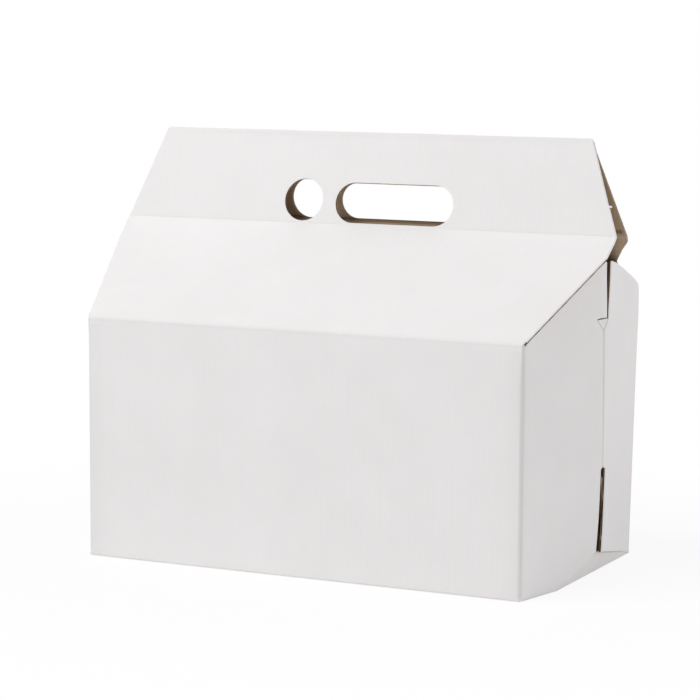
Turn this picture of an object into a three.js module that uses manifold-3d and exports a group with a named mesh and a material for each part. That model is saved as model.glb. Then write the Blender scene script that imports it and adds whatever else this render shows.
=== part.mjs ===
// Carry-out chicken box with a gable lid, folded from white-faced E-flute board.
// Frame in millimetres: +X along the front wall, +Y to the back, +Z up, origin at the centre of the base.
// Every panel is a flat plate whose outline is drawn in the middle of the board's thickness, and every
// fold is a round bead as thick as the board, so the outside of a fold is rounded like real board.
import * as THREE from 'three';
import * as BufferGeometryUtils from 'three/addons/utils/BufferGeometryUtils.js';
import Module from 'manifold-3d';

const wasm = await Module();
wasm.setup();

// The board
const BOARD = 1.5;
const HALF_BOARD = BOARD / 2;
const FOLD_SIDES = 12;

// The tray: outside sizes at the base, and how far the long walls and the ends lean out of them
const BASE_LENGTH = 250;
const BASE_DEPTH = 160;
const WALL_HEIGHT = 129;
const WALL_FLARE = 4;
const END_BULGE = 12;

// The ends: a front half and a back half that meet at a crease, with a slit above and below it
const CREASE_BOTTOM = 59;
const SLIT_FOOT = 137;
const SLIT_TOP = 166;
const UPPER_SLIT = 1.6;
const LOWER_SLIT = 1.6;
const RELIEF_REACH = 7;
const RELIEF_CUT = 0.6;
const TAB_SHOULDER_RISE = 15;
const TAB_MIDDLE_Y = 45;
const TAB_MIDDLE_DROP = 6;
const TAB_CORNER_RADIUS = 7;
const TAB_CORNER_STEPS = 5;

// The web corner that folds the front half of each end up from the base
const WEB_APEX_Y = 43;
const WEB_RISE = 13;
const WEB_TOP_Y = 1.5;
const GLUE_TOP = 54;
const GLUE_REACH = 68;

// The lid: roof panels that rise to the handle folds, and two handle panels that meet at the ridge
const HANDLE_FOLD_HEIGHT = 180;
const HANDLE_FOLD_Y = 8.4;
const HANDLE_HEIGHT = 49.5;
const RIDGE_HALF_LENGTH = 125.75;
const RIDGE_INSIDE_GAP = 2;
const FOLD_HALF_LENGTH = 144;
const EAR_HALF_LENGTH = 145;
const EAR_DEPTH = 5.5;
const FRONT_EAR_FOOT = 20;
const BACK_NECK = 26;
const TUCK_LENGTH = 25;
const TUCK_LEAN = 2.5;
const TUCK_HALF_LENGTH = 115;
const TUCK_CORNER = 14;

// The two holes in each handle panel, measured from the handle fold
const SLOT_LENGTH = 69;
const SLOT_HEIGHT = 22;
const SLOT_CENTRE_X = 16.6;
const SLOT_SILL = 1.4;
const ROUND_HOLE_DIAMETER = 23;
const ROUND_HOLE_CENTRE_X = -37;
const ROUND_HOLE_SILL = 1.6;
const HOLE_STEPS = 20;

// Clearances
const HINGE_GAP = 0.3;
const REST_GAP = 0.3;
const SIDE_CLEARANCE = 0.9;
const TUCK_CLEARANCE = 0.9;

const RIGHT = 1;
const LEFT = -1;
const EPSILON = 0.05;

function toSolid(geometry) {
  const bare = geometry.clone();
  bare.deleteAttribute('normal');
  bare.deleteAttribute('uv');
  const merged = BufferGeometryUtils.mergeVertices(bare, 1e-4);
  return new wasm.Manifold(new wasm.Mesh({
    numProp: 3,
    vertProperties: new Float32Array(merged.attributes.position.array),
    triVerts: new Uint32Array(merged.index.array),
  }));
}

function toGeometry(solid) {
  const mesh = solid.getMesh();
  const geometry = new THREE.BufferGeometry();
  geometry.setAttribute('position', new THREE.BufferAttribute(Float32Array.from(mesh.vertProperties), 3));
  geometry.setIndex(new THREE.BufferAttribute(Uint32Array.from(mesh.triVerts), 1));
  geometry.computeVertexNormals();
  return geometry;
}

function join(solids) {
  return solids.reduce((whole, solid) => whole.add(solid));
}

function cut(solid, cutters) {
  return cutters.reduce((whole, cutter) => whole.subtract(cutter), solid);
}

// A right-handed frame at a point, with its third axis square to the plane of the first two
function frameAt(origin, along, up) {
  const normal = new THREE.Vector3().crossVectors(along, up);
  return new THREE.Matrix4().makeBasis(along, up, normal).setPosition(origin);
}

// A flat plate from a closed outline of points [u, v] in a frame, half its thickness to each side
function plate(outline, frame, thickness = BOARD) {
  const shape = new THREE.Shape(outline.map(([u, v]) => new THREE.Vector2(u, v)));
  const geometry = new THREE.ExtrudeGeometry(shape, { depth: thickness, bevelEnabled: false });
  geometry.translate(0, 0, -thickness / 2);
  return toSolid(geometry.applyMatrix4(frame));
}

// A flat plate through corners in space, which all lie in one plane
function panel(corners) {
  const along = corners[1].clone().sub(corners[0]).normalize();
  const normal = along.clone().cross(corners[2].clone().sub(corners[0])).normalize();
  const up = normal.clone().cross(along);
  const outline = corners.map((corner) => {
    const offset = corner.clone().sub(corners[0]);
    return [offset.dot(along), offset.dot(up)];
  });
  return plate(outline, frameAt(corners[0], along, up));
}

// The round bead of a fold between two points
function fold(start, end, radius = HALF_BOARD) {
  const axis = end.clone().sub(start);
  const geometry = new THREE.CylinderGeometry(radius, radius, axis.length(), FOLD_SIDES);
  const turn = new THREE.Quaternion().setFromUnitVectors(new THREE.Vector3(0, 1, 0), axis.normalize());
  geometry.applyQuaternion(turn);
  geometry.translate(...start.clone().add(end).multiplyScalar(0.5).toArray());
  return toSolid(geometry);
}

// The side section, seen along X, in [distance from the middle, height]: outside corner of the top folds
const TOP_FOLD = new THREE.Vector2(BASE_DEPTH / 2 + WALL_FLARE, WALL_HEIGHT);
const HANDLE_FOLD = new THREE.Vector2(HANDLE_FOLD_Y, HANDLE_FOLD_HEIGHT);
const ROOF_ALONG = HANDLE_FOLD.clone().sub(TOP_FOLD).normalize();
const ROOF_INWARD = new THREE.Vector2(-ROOF_ALONG.y, ROOF_ALONG.x);
const BASE_CORNER_Y = BASE_DEPTH / 2 - HALF_BOARD;
const BASE_CORNER_X = BASE_LENGTH / 2 - HALF_BOARD;
const WALL_LEAN = WALL_FLARE / WALL_HEIGHT;
const END_SLOPE = END_BULGE / BASE_CORNER_Y;

// Distance of a long wall's middle surface from the box's middle, at a height
function wallY(z) {
  return BASE_CORNER_Y + WALL_LEAN * (z - HALF_BOARD);
}

// Distance of an end's middle surface from the box's middle, at a distance from the crease and a height
function endX(y, z) {
  return BASE_CORNER_X + END_SLOPE * (wallY(z) - y);
}

// Height of a line square to the roof's middle surface by an offset, at a distance from the middle
function roofZ(y, offset = 0) {
  const start = TOP_FOLD.clone().addScaledVector(ROOF_INWARD, HALF_BOARD + offset);
  return start.y + ((y - start.x) * ROOF_ALONG.y) / ROOF_ALONG.x;
}

// Distance from the middle where the roof's middle surface meets the wall's
function roofFootY() {
  let y = TOP_FOLD.x;
  for (let step = 0; step < 20; step += 1) {
    y = wallY(roofZ(y));
  }
  return y;
}

const FOOT_Y = roofFootY();
const FOOT_Z = roofZ(FOOT_Y);
const ROOF_LENGTH = (FOOT_Y - HANDLE_FOLD_Y) / -ROOF_ALONG.x;
const FOLD_Z = roofZ(HANDLE_FOLD_Y);
const RIDGE_ROLL = (RIDGE_INSIDE_GAP + 2 * BOARD) / 2;
const RIDGE_Y = (RIDGE_INSIDE_GAP + BOARD) / 2;
const RIDGE_Z = HANDLE_FOLD_HEIGHT + HANDLE_HEIGHT - RIDGE_ROLL;

// A point on the end wall's middle surface; front and back halves mirror each other
function endPoint(side, half, y, z, inset = 0) {
  return new THREE.Vector3(side * (endX(y, z) - inset), half * y, z);
}

// A local bar along the front top fold that trims one side of the fold to the hinge's mitre
function hingeTrim(above) {
  const reach = 2 * BOARD;
  const wallDown = new THREE.Vector2(-WALL_LEAN, -1).normalize();
  const inward = wallDown.clone().add(ROOF_ALONG).normalize();
  const along = new THREE.Vector3(0, -inward.x, inward.y);
  const across = new THREE.Vector3(0, -inward.y, -inward.x);
  const side = above ? 1 : -1;
  const outline = [
    [-2 * reach, side * HINGE_GAP / -2],
    [reach, side * HINGE_GAP / -2],
    [reach, side * 2 * reach],
    [-2 * reach, side * 2 * reach],
  ];
  const origin = new THREE.Vector3(0, -TOP_FOLD.x, TOP_FOLD.y);
  return plate(outline, frameAt(origin, along, across), 2 * EAR_HALF_LENGTH);
}

function base() {
  const apexX = endX(WEB_APEX_Y, HALF_BOARD);
  return panel([
    new THREE.Vector3(-BASE_CORNER_X, -BASE_CORNER_Y, HALF_BOARD),
    new THREE.Vector3(BASE_CORNER_X, -BASE_CORNER_Y, HALF_BOARD),
    new THREE.Vector3(apexX, -WEB_APEX_Y, HALF_BOARD),
    new THREE.Vector3(BASE_CORNER_X, BASE_CORNER_Y, HALF_BOARD),
    new THREE.Vector3(-BASE_CORNER_X, BASE_CORNER_Y, HALF_BOARD),
    new THREE.Vector3(-apexX, -WEB_APEX_Y, HALF_BOARD),
  ]);
}

// A long wall; its top reaches a given height on the outside
function longWall(half, top) {
  const foot = wallY(HALF_BOARD);
  const head = wallY(top);
  return [
    panel([
      new THREE.Vector3(-BASE_CORNER_X, half * foot, HALF_BOARD),
      new THREE.Vector3(BASE_CORNER_X, half * foot, HALF_BOARD),
      new THREE.Vector3(BASE_CORNER_X, half * head, top),
      new THREE.Vector3(-BASE_CORNER_X, half * head, top),
    ]),
    fold(
      new THREE.Vector3(-BASE_CORNER_X, half * foot, HALF_BOARD),
      new THREE.Vector3(BASE_CORNER_X, half * foot, HALF_BOARD),
    ),
  ];
}

// The upright fold between a long wall and an end
function cornerFold(side, half, top) {
  return fold(
    new THREE.Vector3(side * BASE_CORNER_X, half * wallY(HALF_BOARD), HALF_BOARD),
    new THREE.Vector3(side * BASE_CORNER_X, half * wallY(top), top),
  );
}

// The front half of an end, up to the underside of the lid's roof
function frontHalf(side) {
  const front = -1;
  const underside = HALF_BOARD + REST_GAP;
  const topY = TOP_FOLD.x - (SLIT_TOP - roofZ(TOP_FOLD.x, underside)) * (-ROOF_ALONG.x / ROOF_ALONG.y);
  const main = panel([
    endPoint(side, front, BASE_CORNER_Y, HALF_BOARD),
    endPoint(side, front, WEB_APEX_Y, HALF_BOARD),
    endPoint(side, front, 0, CREASE_BOTTOM),
    endPoint(side, front, 0, SLIT_FOOT),
    endPoint(side, front, UPPER_SLIT / 2, SLIT_TOP),
    endPoint(side, front, topY, SLIT_TOP),
    endPoint(side, front, FOOT_Y, roofZ(FOOT_Y, underside)),
  ]);
  return main;
}

// The web corner: the front half's bent foot, the web under it and the glued panel behind the back half
function webCorner(side) {
  const front = -1;
  const back = 1;
  const inset = BOARD - EPSILON;
  const apex = endPoint(side, front, WEB_APEX_Y, HALF_BOARD);
  const creaseFoot = endPoint(side, front, 0, CREASE_BOTTOM);
  const webTop = endPoint(side, front, WEB_TOP_Y, WEB_RISE, inset);
  const backCorner = new THREE.Vector3(side * BASE_CORNER_X, BASE_CORNER_Y, HALF_BOARD);
  return [
    panel([apex, webTop, creaseFoot]),
    panel([apex, webTop, backCorner]),
    panel([
      endPoint(side, back, BASE_CORNER_Y - BOARD, BOARD, inset),
      endPoint(side, back, 0, WEB_RISE, inset),
      endPoint(side, back, 0, GLUE_TOP, inset),
      endPoint(side, back, GLUE_REACH, GLUE_TOP - WEB_RISE, inset),
    ]),
    fold(apex, webTop),
    fold(apex, creaseFoot),
    fold(webTop, creaseFoot),
    fold(webTop, backCorner),
    fold(apex, backCorner),
    fold(apex, endPoint(side, front, BASE_CORNER_Y, HALF_BOARD)),
  ];
}

// The outline of the back half of an end, as [distance from the crease, height]
function backHalfOutline() {
  const headZ = WALL_HEIGHT + TAB_SHOULDER_RISE;
  const edgeY = wallY(headZ);
  const middle = new THREE.Vector2(TAB_MIDDLE_Y, SLIT_TOP - TAB_MIDDLE_DROP);
  const slope = new THREE.Vector2(edgeY, headZ + TAB_CORNER_RADIUS).sub(middle).normalize();
  const turn = Math.PI / 2 + Math.atan2(slope.y, slope.x);
  const outline = [
    [wallY(BOARD), BOARD],
    [edgeY, headZ],
  ];
  for (let step = 1; step <= TAB_CORNER_STEPS; step += 1) {
    const angle = (turn * step) / TAB_CORNER_STEPS;
    outline.push([
      edgeY - TAB_CORNER_RADIUS * (1 - Math.cos(angle)),
      headZ + TAB_CORNER_RADIUS * Math.sin(angle),
    ]);
  }
  outline.push(
    [middle.x, middle.y],
    [UPPER_SLIT / 2, SLIT_TOP],
    [0, SLIT_FOOT],
    [0, CREASE_BOTTOM],
    [LOWER_SLIT / 2, WEB_RISE],
  );
  return outline;
}

function backHalf(side) {
  return panel(backHalfOutline().map(([y, z]) => endPoint(side, 1, y, z)));
}

// The cut above the pressed-in triangle at the head of the crease
function reliefCut(side) {
  const outline = [
    [0, 0],
    [RELIEF_REACH, 0],
    [RELIEF_REACH, RELIEF_CUT],
    [0, RELIEF_CUT],
  ];
  const origin = endPoint(side, -1, 0, SLIT_FOOT - RELIEF_CUT);
  const along = endPoint(side, -1, RELIEF_REACH, SLIT_FOOT - RELIEF_CUT).sub(origin).normalize();
  return plate(outline, frameAt(origin, along, new THREE.Vector3(0, 0, 1)), 2 * BOARD);
}

function boxBody() {
  const ends = [RIGHT, LEFT].flatMap((side) => [
    frontHalf(side),
    backHalf(side),
    ...webCorner(side),
    cornerFold(side, -1, FOOT_Z),
    cornerFold(side, 1, WALL_HEIGHT),
    fold(endPoint(side, 1, 0, CREASE_BOTTOM), endPoint(side, 1, 0, SLIT_FOOT)),
  ]);
  const whole = join([base(), ...longWall(-1, WALL_HEIGHT + BOARD), ...longWall(1, WALL_HEIGHT), ...ends]);
  return cut(whole, [hingeTrim(true), reliefCut(RIGHT), reliefCut(LEFT)]);
}

// A frame in a lid panel: u along X, v up the panel from its foot, in the middle of the board
function lidFrame(footY, footZ, headY, headZ) {
  const up = new THREE.Vector3(0, headY - footY, headZ - footZ).normalize();
  return frameAt(new THREE.Vector3(0, footY, footZ), new THREE.Vector3(1, 0, 0), up);
}

// The front roof panel: its right edge runs out to an ear below the handle fold, its left edge is straight
function frontRoof() {
  const frame = lidFrame(-FOOT_Y, FOOT_Z, -HANDLE_FOLD_Y, FOLD_Z);
  const rootHalf = BASE_LENGTH / 2;
  return plate([
    [-rootHalf, -2 * BOARD],
    [rootHalf, -2 * BOARD],
    [rootHalf, 0],
    [EAR_HALF_LENGTH, ROOF_LENGTH - FRONT_EAR_FOOT],
    [EAR_HALF_LENGTH, ROOF_LENGTH - EAR_DEPTH],
    [FOLD_HALF_LENGTH, ROOF_LENGTH],
    [-FOLD_HALF_LENGTH, ROOF_LENGTH],
    [-EAR_HALF_LENGTH, ROOF_LENGTH - EAR_DEPTH],
    [-rootHalf, 0],
  ], frame);
}

// The back roof panel: it narrows below its ears to drop between the back halves of the ends
function backRoof(tuckFold) {
  const frame = lidFrame(tuckFold.y, tuckFold.z, HANDLE_FOLD_Y, FOLD_Z);
  const length = Math.hypot(tuckFold.y - HANDLE_FOLD_Y, FOLD_Z - tuckFold.z);
  const neckY = HANDLE_FOLD_Y + BACK_NECK * -ROOF_ALONG.x;
  const neckHalf = endX(neckY, roofZ(neckY)) - HALF_BOARD - SIDE_CLEARANCE;
  const footHalf = endX(tuckFold.y, tuckFold.z) - HALF_BOARD - SIDE_CLEARANCE;
  const right = [
    [footHalf, 0],
    [neckHalf, length - BACK_NECK],
    [EAR_HALF_LENGTH, length - EAR_DEPTH],
    [FOLD_HALF_LENGTH, length],
  ];
  const left = right.map(([u, v]) => [-u, v]).reverse();
  return plate([...right, ...left], frame);
}

// The tuck flap that slips down inside the back wall, leaning in a little so that it can swing out
function tuckFlap(tuckFold) {
  const foot = new THREE.Vector3(0, tuckFold.y - TUCK_LEAN, tuckFold.z - TUCK_LENGTH);
  const frame = lidFrame(foot.y, foot.z, tuckFold.y, tuckFold.z);
  const length = Math.hypot(TUCK_LEAN, TUCK_LENGTH);
  return plate([
    [-TUCK_HALF_LENGTH + TUCK_CORNER, 0],
    [TUCK_HALF_LENGTH - TUCK_CORNER, 0],
    [TUCK_HALF_LENGTH, TUCK_CORNER],
    [TUCK_HALF_LENGTH, length],
    [-TUCK_HALF_LENGTH, length],
    [-TUCK_HALF_LENGTH, TUCK_CORNER],
  ], frame);
}

function roundHole() {
  const radius = ROUND_HOLE_DIAMETER / 2;
  const outline = [];
  for (let step = 0; step < 2 * HOLE_STEPS; step += 1) {
    const angle = (Math.PI * step) / HOLE_STEPS;
    outline.push([
      ROUND_HOLE_CENTRE_X + radius * Math.cos(angle),
      ROUND_HOLE_SILL + radius + radius * Math.sin(angle),
    ]);
  }
  return outline;
}

function handSlot() {
  const radius = SLOT_HEIGHT / 2;
  const outline = [];
  for (const end of [RIGHT, LEFT]) {
    for (let step = 0; step <= HOLE_STEPS; step += 1) {
      const angle = (Math.PI * step) / HOLE_STEPS - (end * Math.PI) / 2;
      outline.push([
        SLOT_CENTRE_X + end * (SLOT_LENGTH / 2 - radius) + radius * Math.cos(angle),
        SLOT_SILL + radius + radius * Math.sin(angle),
      ]);
    }
  }
  return outline;
}

// A handle panel from its fold up to the ridge, with its round hole and its hand slot
function handlePanel(half) {
  const frame = lidFrame(half * HANDLE_FOLD_Y, FOLD_Z, half * RIDGE_Y, RIDGE_Z);
  const height = Math.hypot(HANDLE_FOLD_Y - RIDGE_Y, RIDGE_Z - FOLD_Z);
  const sheet = plate([
    [-FOLD_HALF_LENGTH, 0],
    [FOLD_HALF_LENGTH, 0],
    [RIDGE_HALF_LENGTH, height],
    [-RIDGE_HALF_LENGTH, height],
  ], frame);
  return cut(sheet, [roundHole(), handSlot()].map((outline) => plate(outline, frame, 2 * BOARD)));
}

function lidFold(halfLength, y, z, radius = HALF_BOARD) {
  return fold(new THREE.Vector3(-halfLength, y, z), new THREE.Vector3(halfLength, y, z), radius);
}

function gableLid() {
  const tuckY = wallY(WALL_HEIGHT) - BOARD - TUCK_CLEARANCE;
  const tuckFold = new THREE.Vector3(0, tuckY, roofZ(tuckY));
  const footHalf = endX(tuckFold.y, tuckFold.z) - HALF_BOARD - SIDE_CLEARANCE;
  const whole = join([
    frontRoof(),
    lidFold(FOLD_HALF_LENGTH, -HANDLE_FOLD_Y, FOLD_Z),
    handlePanel(-1),
    lidFold(RIDGE_HALF_LENGTH, 0, RIDGE_Z, RIDGE_ROLL),
    handlePanel(1),
    lidFold(FOLD_HALF_LENGTH, HANDLE_FOLD_Y, FOLD_Z),
    backRoof(tuckFold),
    lidFold(footHalf, tuckFold.y, tuckFold.z),
    tuckFlap(tuckFold),
  ]);
  return cut(whole, [hingeTrim(false)]);
}

function boardMaterial() {
  return new THREE.MeshStandardMaterial({ color: '#e6e5e2', roughness: 0.75, metalness: 0, flatShading: true });
}

function boardMesh(name, solid) {
  const mesh = new THREE.Mesh(toGeometry(solid), boardMaterial());
  mesh.name = name;
  return mesh;
}

const box = new THREE.Group();
box.name = 'gable_carry_box';
box.add(boardMesh('box_body', boxBody()), boardMesh('gable_lid', gableLid()));

export default box;
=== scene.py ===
"""Looks of a chicken takeout box: one folded sheet of corrugated board with a gable lid.

The board is white outside and brown inside. Frame in metres: +X along the front wall, +Y to the
back, +Z up, origin at the centre of the base. Every panel is a surface of two parameters that is
given the board's thickness, with rounded folds and cut edges that show the flutes.
"""

import logging
import math
from dataclasses import dataclass, field, replace
from enum import Enum
from typing import Callable

import bmesh
import bpy
import numpy as np
from mathutils import Matrix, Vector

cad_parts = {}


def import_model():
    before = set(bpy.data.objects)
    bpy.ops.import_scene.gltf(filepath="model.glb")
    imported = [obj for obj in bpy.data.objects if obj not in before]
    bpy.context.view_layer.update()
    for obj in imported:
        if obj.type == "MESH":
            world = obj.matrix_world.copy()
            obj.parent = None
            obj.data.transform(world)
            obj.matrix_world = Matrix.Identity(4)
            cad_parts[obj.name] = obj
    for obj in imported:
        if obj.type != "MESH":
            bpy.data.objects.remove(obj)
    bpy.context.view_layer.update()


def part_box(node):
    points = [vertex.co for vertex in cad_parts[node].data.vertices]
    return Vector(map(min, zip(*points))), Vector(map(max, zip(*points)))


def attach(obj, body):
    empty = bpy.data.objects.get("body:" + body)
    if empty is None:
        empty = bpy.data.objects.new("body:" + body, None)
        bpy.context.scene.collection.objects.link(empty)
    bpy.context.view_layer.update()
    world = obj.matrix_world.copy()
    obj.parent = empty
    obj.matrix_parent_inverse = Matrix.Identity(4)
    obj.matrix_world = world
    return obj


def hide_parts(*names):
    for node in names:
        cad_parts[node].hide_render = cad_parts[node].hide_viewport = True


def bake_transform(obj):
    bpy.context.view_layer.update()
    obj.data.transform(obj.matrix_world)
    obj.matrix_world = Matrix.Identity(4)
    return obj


LOG = logging.getLogger("takeout_box")
MM = 0.001

Surface = Callable[[np.ndarray, np.ndarray, np.ndarray], np.ndarray]
Table = tuple[tuple[float, float], ...]
Colour = tuple[float, float, float]


class Side(Enum):
    """The two ends of the box."""

    RIGHT = 1.0
    LEFT = -1.0

    @property
    def word(self) -> str:
        """The side's name for a piece."""
        return self.name.lower()


class BoardFace(Enum):
    """The three finishes that a piece of board shows."""

    OUTSIDE = 0
    INSIDE = 1
    CUT_EDGE = 2


@dataclass(frozen=True)
class Board:
    """The corrugated board that the box is folded from."""

    thickness: float = 1.5 * MM
    lip: float = 0.24 * MM
    outer_lip: float = 0.36 * MM
    flute_pitch: float = 3.3 * MM
    fold_roll: float = 1.0 * MM
    corner_roll: float = 1.8 * MM

    @property
    def half(self) -> float:
        """Half the thickness."""
        return self.thickness / 2


@dataclass(frozen=True)
class Carton:
    """Driving sizes of the box; the ones that the frame gives are read from it."""

    length: float = 250 * MM
    depth: float = 160 * MM
    wall_height: float = 129 * MM
    wall_flare: float = 4 * MM
    end_bulge: float = 12 * MM
    end_roll: float = 2.2 * MM
    handle_fold_y: float = 8.4 * MM
    handle_fold_height: float = 180 * MM
    ridge_inside_gap: float = 0.9 * MM
    ridge_back: float = 3.4 * MM
    ridge_sag: float = 0.45 * MM
    rest_gap: float = 0.3 * MM
    ridge_top: float = 229.5 * MM
    ridge_half: float = 125.75 * MM
    fold_half: float = 144 * MM
    ear_half: float = 145 * MM
    slit_top: float = 166 * MM
    board: Board = field(default_factory=Board)

    @classmethod
    def from_frame(cls) -> "Carton":
        """Reads the overall sizes from the two CAD nodes.

        Returns:
            The sizes of the box.
        """
        lid_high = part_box("gable_lid")[1]
        body_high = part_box("box_body")[1]
        return cls(ridge_top=lid_high.z, ear_half=lid_high.x, slit_top=body_high.z)

    @property
    def corner_x(self) -> float:
        """Middle of the board at the upright corners, from the box's middle."""
        return self.length / 2 - self.board.half

    @property
    def corner_y(self) -> float:
        """Middle of the board at the foot of a long wall."""
        return self.depth / 2 - self.board.half

    def wall_y(self, z: np.ndarray) -> np.ndarray:
        """Middle of a long wall at a height: a straight line that leans out by the flare."""
        lean = self.wall_flare / self.wall_height
        return self.corner_y + lean * (z - self.board.half)

    @property
    def roof_along(self) -> np.ndarray:
        """Unit direction up the roof in [distance from the middle, height]."""
        rise = np.array(
            [
                self.handle_fold_y - self.depth / 2 - self.wall_flare,
                self.handle_fold_height - self.wall_height,
            ]
        )
        return rise / np.linalg.norm(rise)

    def roof_z(self, y: np.ndarray, below: float = 0.0) -> np.ndarray:
        """Height of a line parallel to the roof.

        Args:
            y: Distance from the box's middle.
            below: Distance under the middle of the roof's board, square to it.

        Returns:
            Height of the line at y.
        """
        along = self.roof_along
        drop = self.board.half + below
        start_y = self.depth / 2 + self.wall_flare - along[1] * drop
        start_z = self.wall_height + along[0] * drop
        return start_z + (y - start_y) * along[1] / along[0]

    @property
    def foot(self) -> np.ndarray:
        """Where the middle lines of wall and roof meet.

        Returns:
            Distance from the box's middle, and height.
        """
        y = np.array(self.depth / 2 + self.wall_flare)
        rounds = 12
        for _ in range(rounds):
            y = self.wall_y(self.roof_z(y))
        return np.array([float(y), float(self.roof_z(y))])

    @property
    def handle_fold_z(self) -> float:
        """Height of the middle of the board at the handle fold."""
        return float(self.roof_z(np.array(self.handle_fold_y)))

    @property
    def ridge_roll(self) -> float:
        """Radius of the middle of the board round the ridge."""
        return (self.ridge_inside_gap + self.board.thickness) / 2

    @property
    def ridge_z(self) -> float:
        """Height of the centre of the ridge's roll."""
        return self.ridge_top - self.ridge_sag - self.ridge_roll - self.board.half


def unit(vectors: np.ndarray) -> np.ndarray:
    """Vectors divided by their length, with zero left as zero."""
    size = np.linalg.norm(vectors, axis=-1, keepdims=True)
    return vectors / np.maximum(size, 1e-12)


def eased(share: np.ndarray) -> np.ndarray:
    """A smooth step from 0 to 1: three times the square less twice the cube."""
    held = np.clip(share, 0.0, 1.0)
    return held * held * (3 - 2 * held)


def along_table(at: np.ndarray, table: Table) -> np.ndarray:
    """Value at a place, in metres, straight between the rows of a table in millimetres."""
    rows = np.array(table) * MM
    return np.interp(at, rows[:, 0], rows[:, 1])


def ring_of(columns: int, rows: int) -> np.ndarray:
    """Flat indices round the rim of a grid, starting along its first row.

    Args:
        columns: Count of points in the first direction.
        rows: Count of points in the second direction.

    Returns:
        Indices into the flattened grid, each rim point once.
    """
    index = np.arange(columns * rows).reshape(columns, rows)
    return np.concatenate([index[:-1, 0], index[-1, :-1], index[:0:-1, -1], index[0, :0:-1]])


def grid_quads(columns: int, rows: int, start: int = 0) -> np.ndarray:
    """Quads of a grid of points, wound from the first direction to the second.

    Args:
        columns: Count of points in the first direction.
        rows: Count of points in the second direction.
        start: Index of the grid's first point.

    Returns:
        Four indices for each quad.
    """
    index = np.arange(columns * rows).reshape(columns, rows) + start
    corners = [index[:-1, :-1], index[1:, :-1], index[1:, 1:], index[:-1, 1:]]
    return np.stack(corners, axis=-1).reshape(-1, 4)


def strip_quads(upper: np.ndarray, lower: np.ndarray) -> np.ndarray:
    """Quads between two closed loops of the same count."""
    return np.stack([np.roll(upper, -1), upper, lower, np.roll(lower, -1)], axis=-1)


def set_smooth(mesh: bpy.types.Mesh, sharp_degrees: float = 40.0) -> None:
    """Shades a mesh smooth, apart from edges sharper than an angle.

    Args:
        mesh: The mesh.
        sharp_degrees: The angle between faces from which an edge stays sharp.
    """
    mesh.polygons.foreach_set("use_smooth", np.ones(len(mesh.polygons), bool))
    mesh.set_sharp_from_angle(angle=math.radians(sharp_degrees))
    mesh.update()


def recalculate(mesh: bpy.types.Mesh) -> None:
    """Turns the faces of a closed mesh outwards.

    Args:
        mesh: The mesh, which is changed.
    """
    work = bmesh.new()
    work.from_mesh(mesh)
    bmesh.ops.recalc_face_normals(work, faces=work.faces)
    work.to_mesh(mesh)
    work.free()


def new_mesh(
    name: str, points: np.ndarray, faces: list, flute: np.ndarray, score: np.ndarray
) -> bpy.types.Mesh:
    """Puts computed arrays into a mesh.

    Args:
        name: The mesh's name.
        points: Vertices, one row each.
        faces: Vertex indices of each face.
        flute: For each vertex, distance across the flutes and share of the thickness.
        score: For each vertex, how close it is to a fold; below zero in a pressed groove.

    Returns:
        The mesh, with the UV map "flute" and the attribute "score".
    """
    mesh = bpy.data.meshes.new(name)
    mesh.from_pydata(points.tolist(), [], faces)
    layer = mesh.uv_layers.new(name="flute")
    loops = np.zeros(len(mesh.loops), np.int32)
    mesh.loops.foreach_get("vertex_index", loops)
    layer.data.foreach_set("uv", flute[loops].astype(np.float32).ravel())
    attribute = mesh.attributes.new("score", "FLOAT", "POINT")
    attribute.data.foreach_set("value", score.astype(np.float32))
    return mesh


def link_object(name: str, data: bpy.types.ID) -> bpy.types.Object:
    """Makes an object for a mesh, a lamp or a camera, and links it to the scene."""
    made = bpy.data.objects.new(name, data)
    bpy.context.scene.collection.objects.link(made)
    return made


def draw_in(sheet: np.ndarray, lip: float) -> None:
    """Moves the rim of a grid of points in by the lip, towards the points beside it.

    Args:
        sheet: The grid, which is changed.
        lip: How far the rim moves.
    """
    steps = (sheet[1] - sheet[0], sheet[-2] - sheet[-1])
    rises = (sheet[:, 1] - sheet[:, 0], sheet[:, -2] - sheet[:, -1])
    sheet[0] += unit(steps[0]) * lip
    sheet[-1] += unit(steps[1]) * lip
    sheet[:, 0] += unit(rises[0]) * lip
    sheet[:, -1] += unit(rises[1]) * lip


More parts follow.
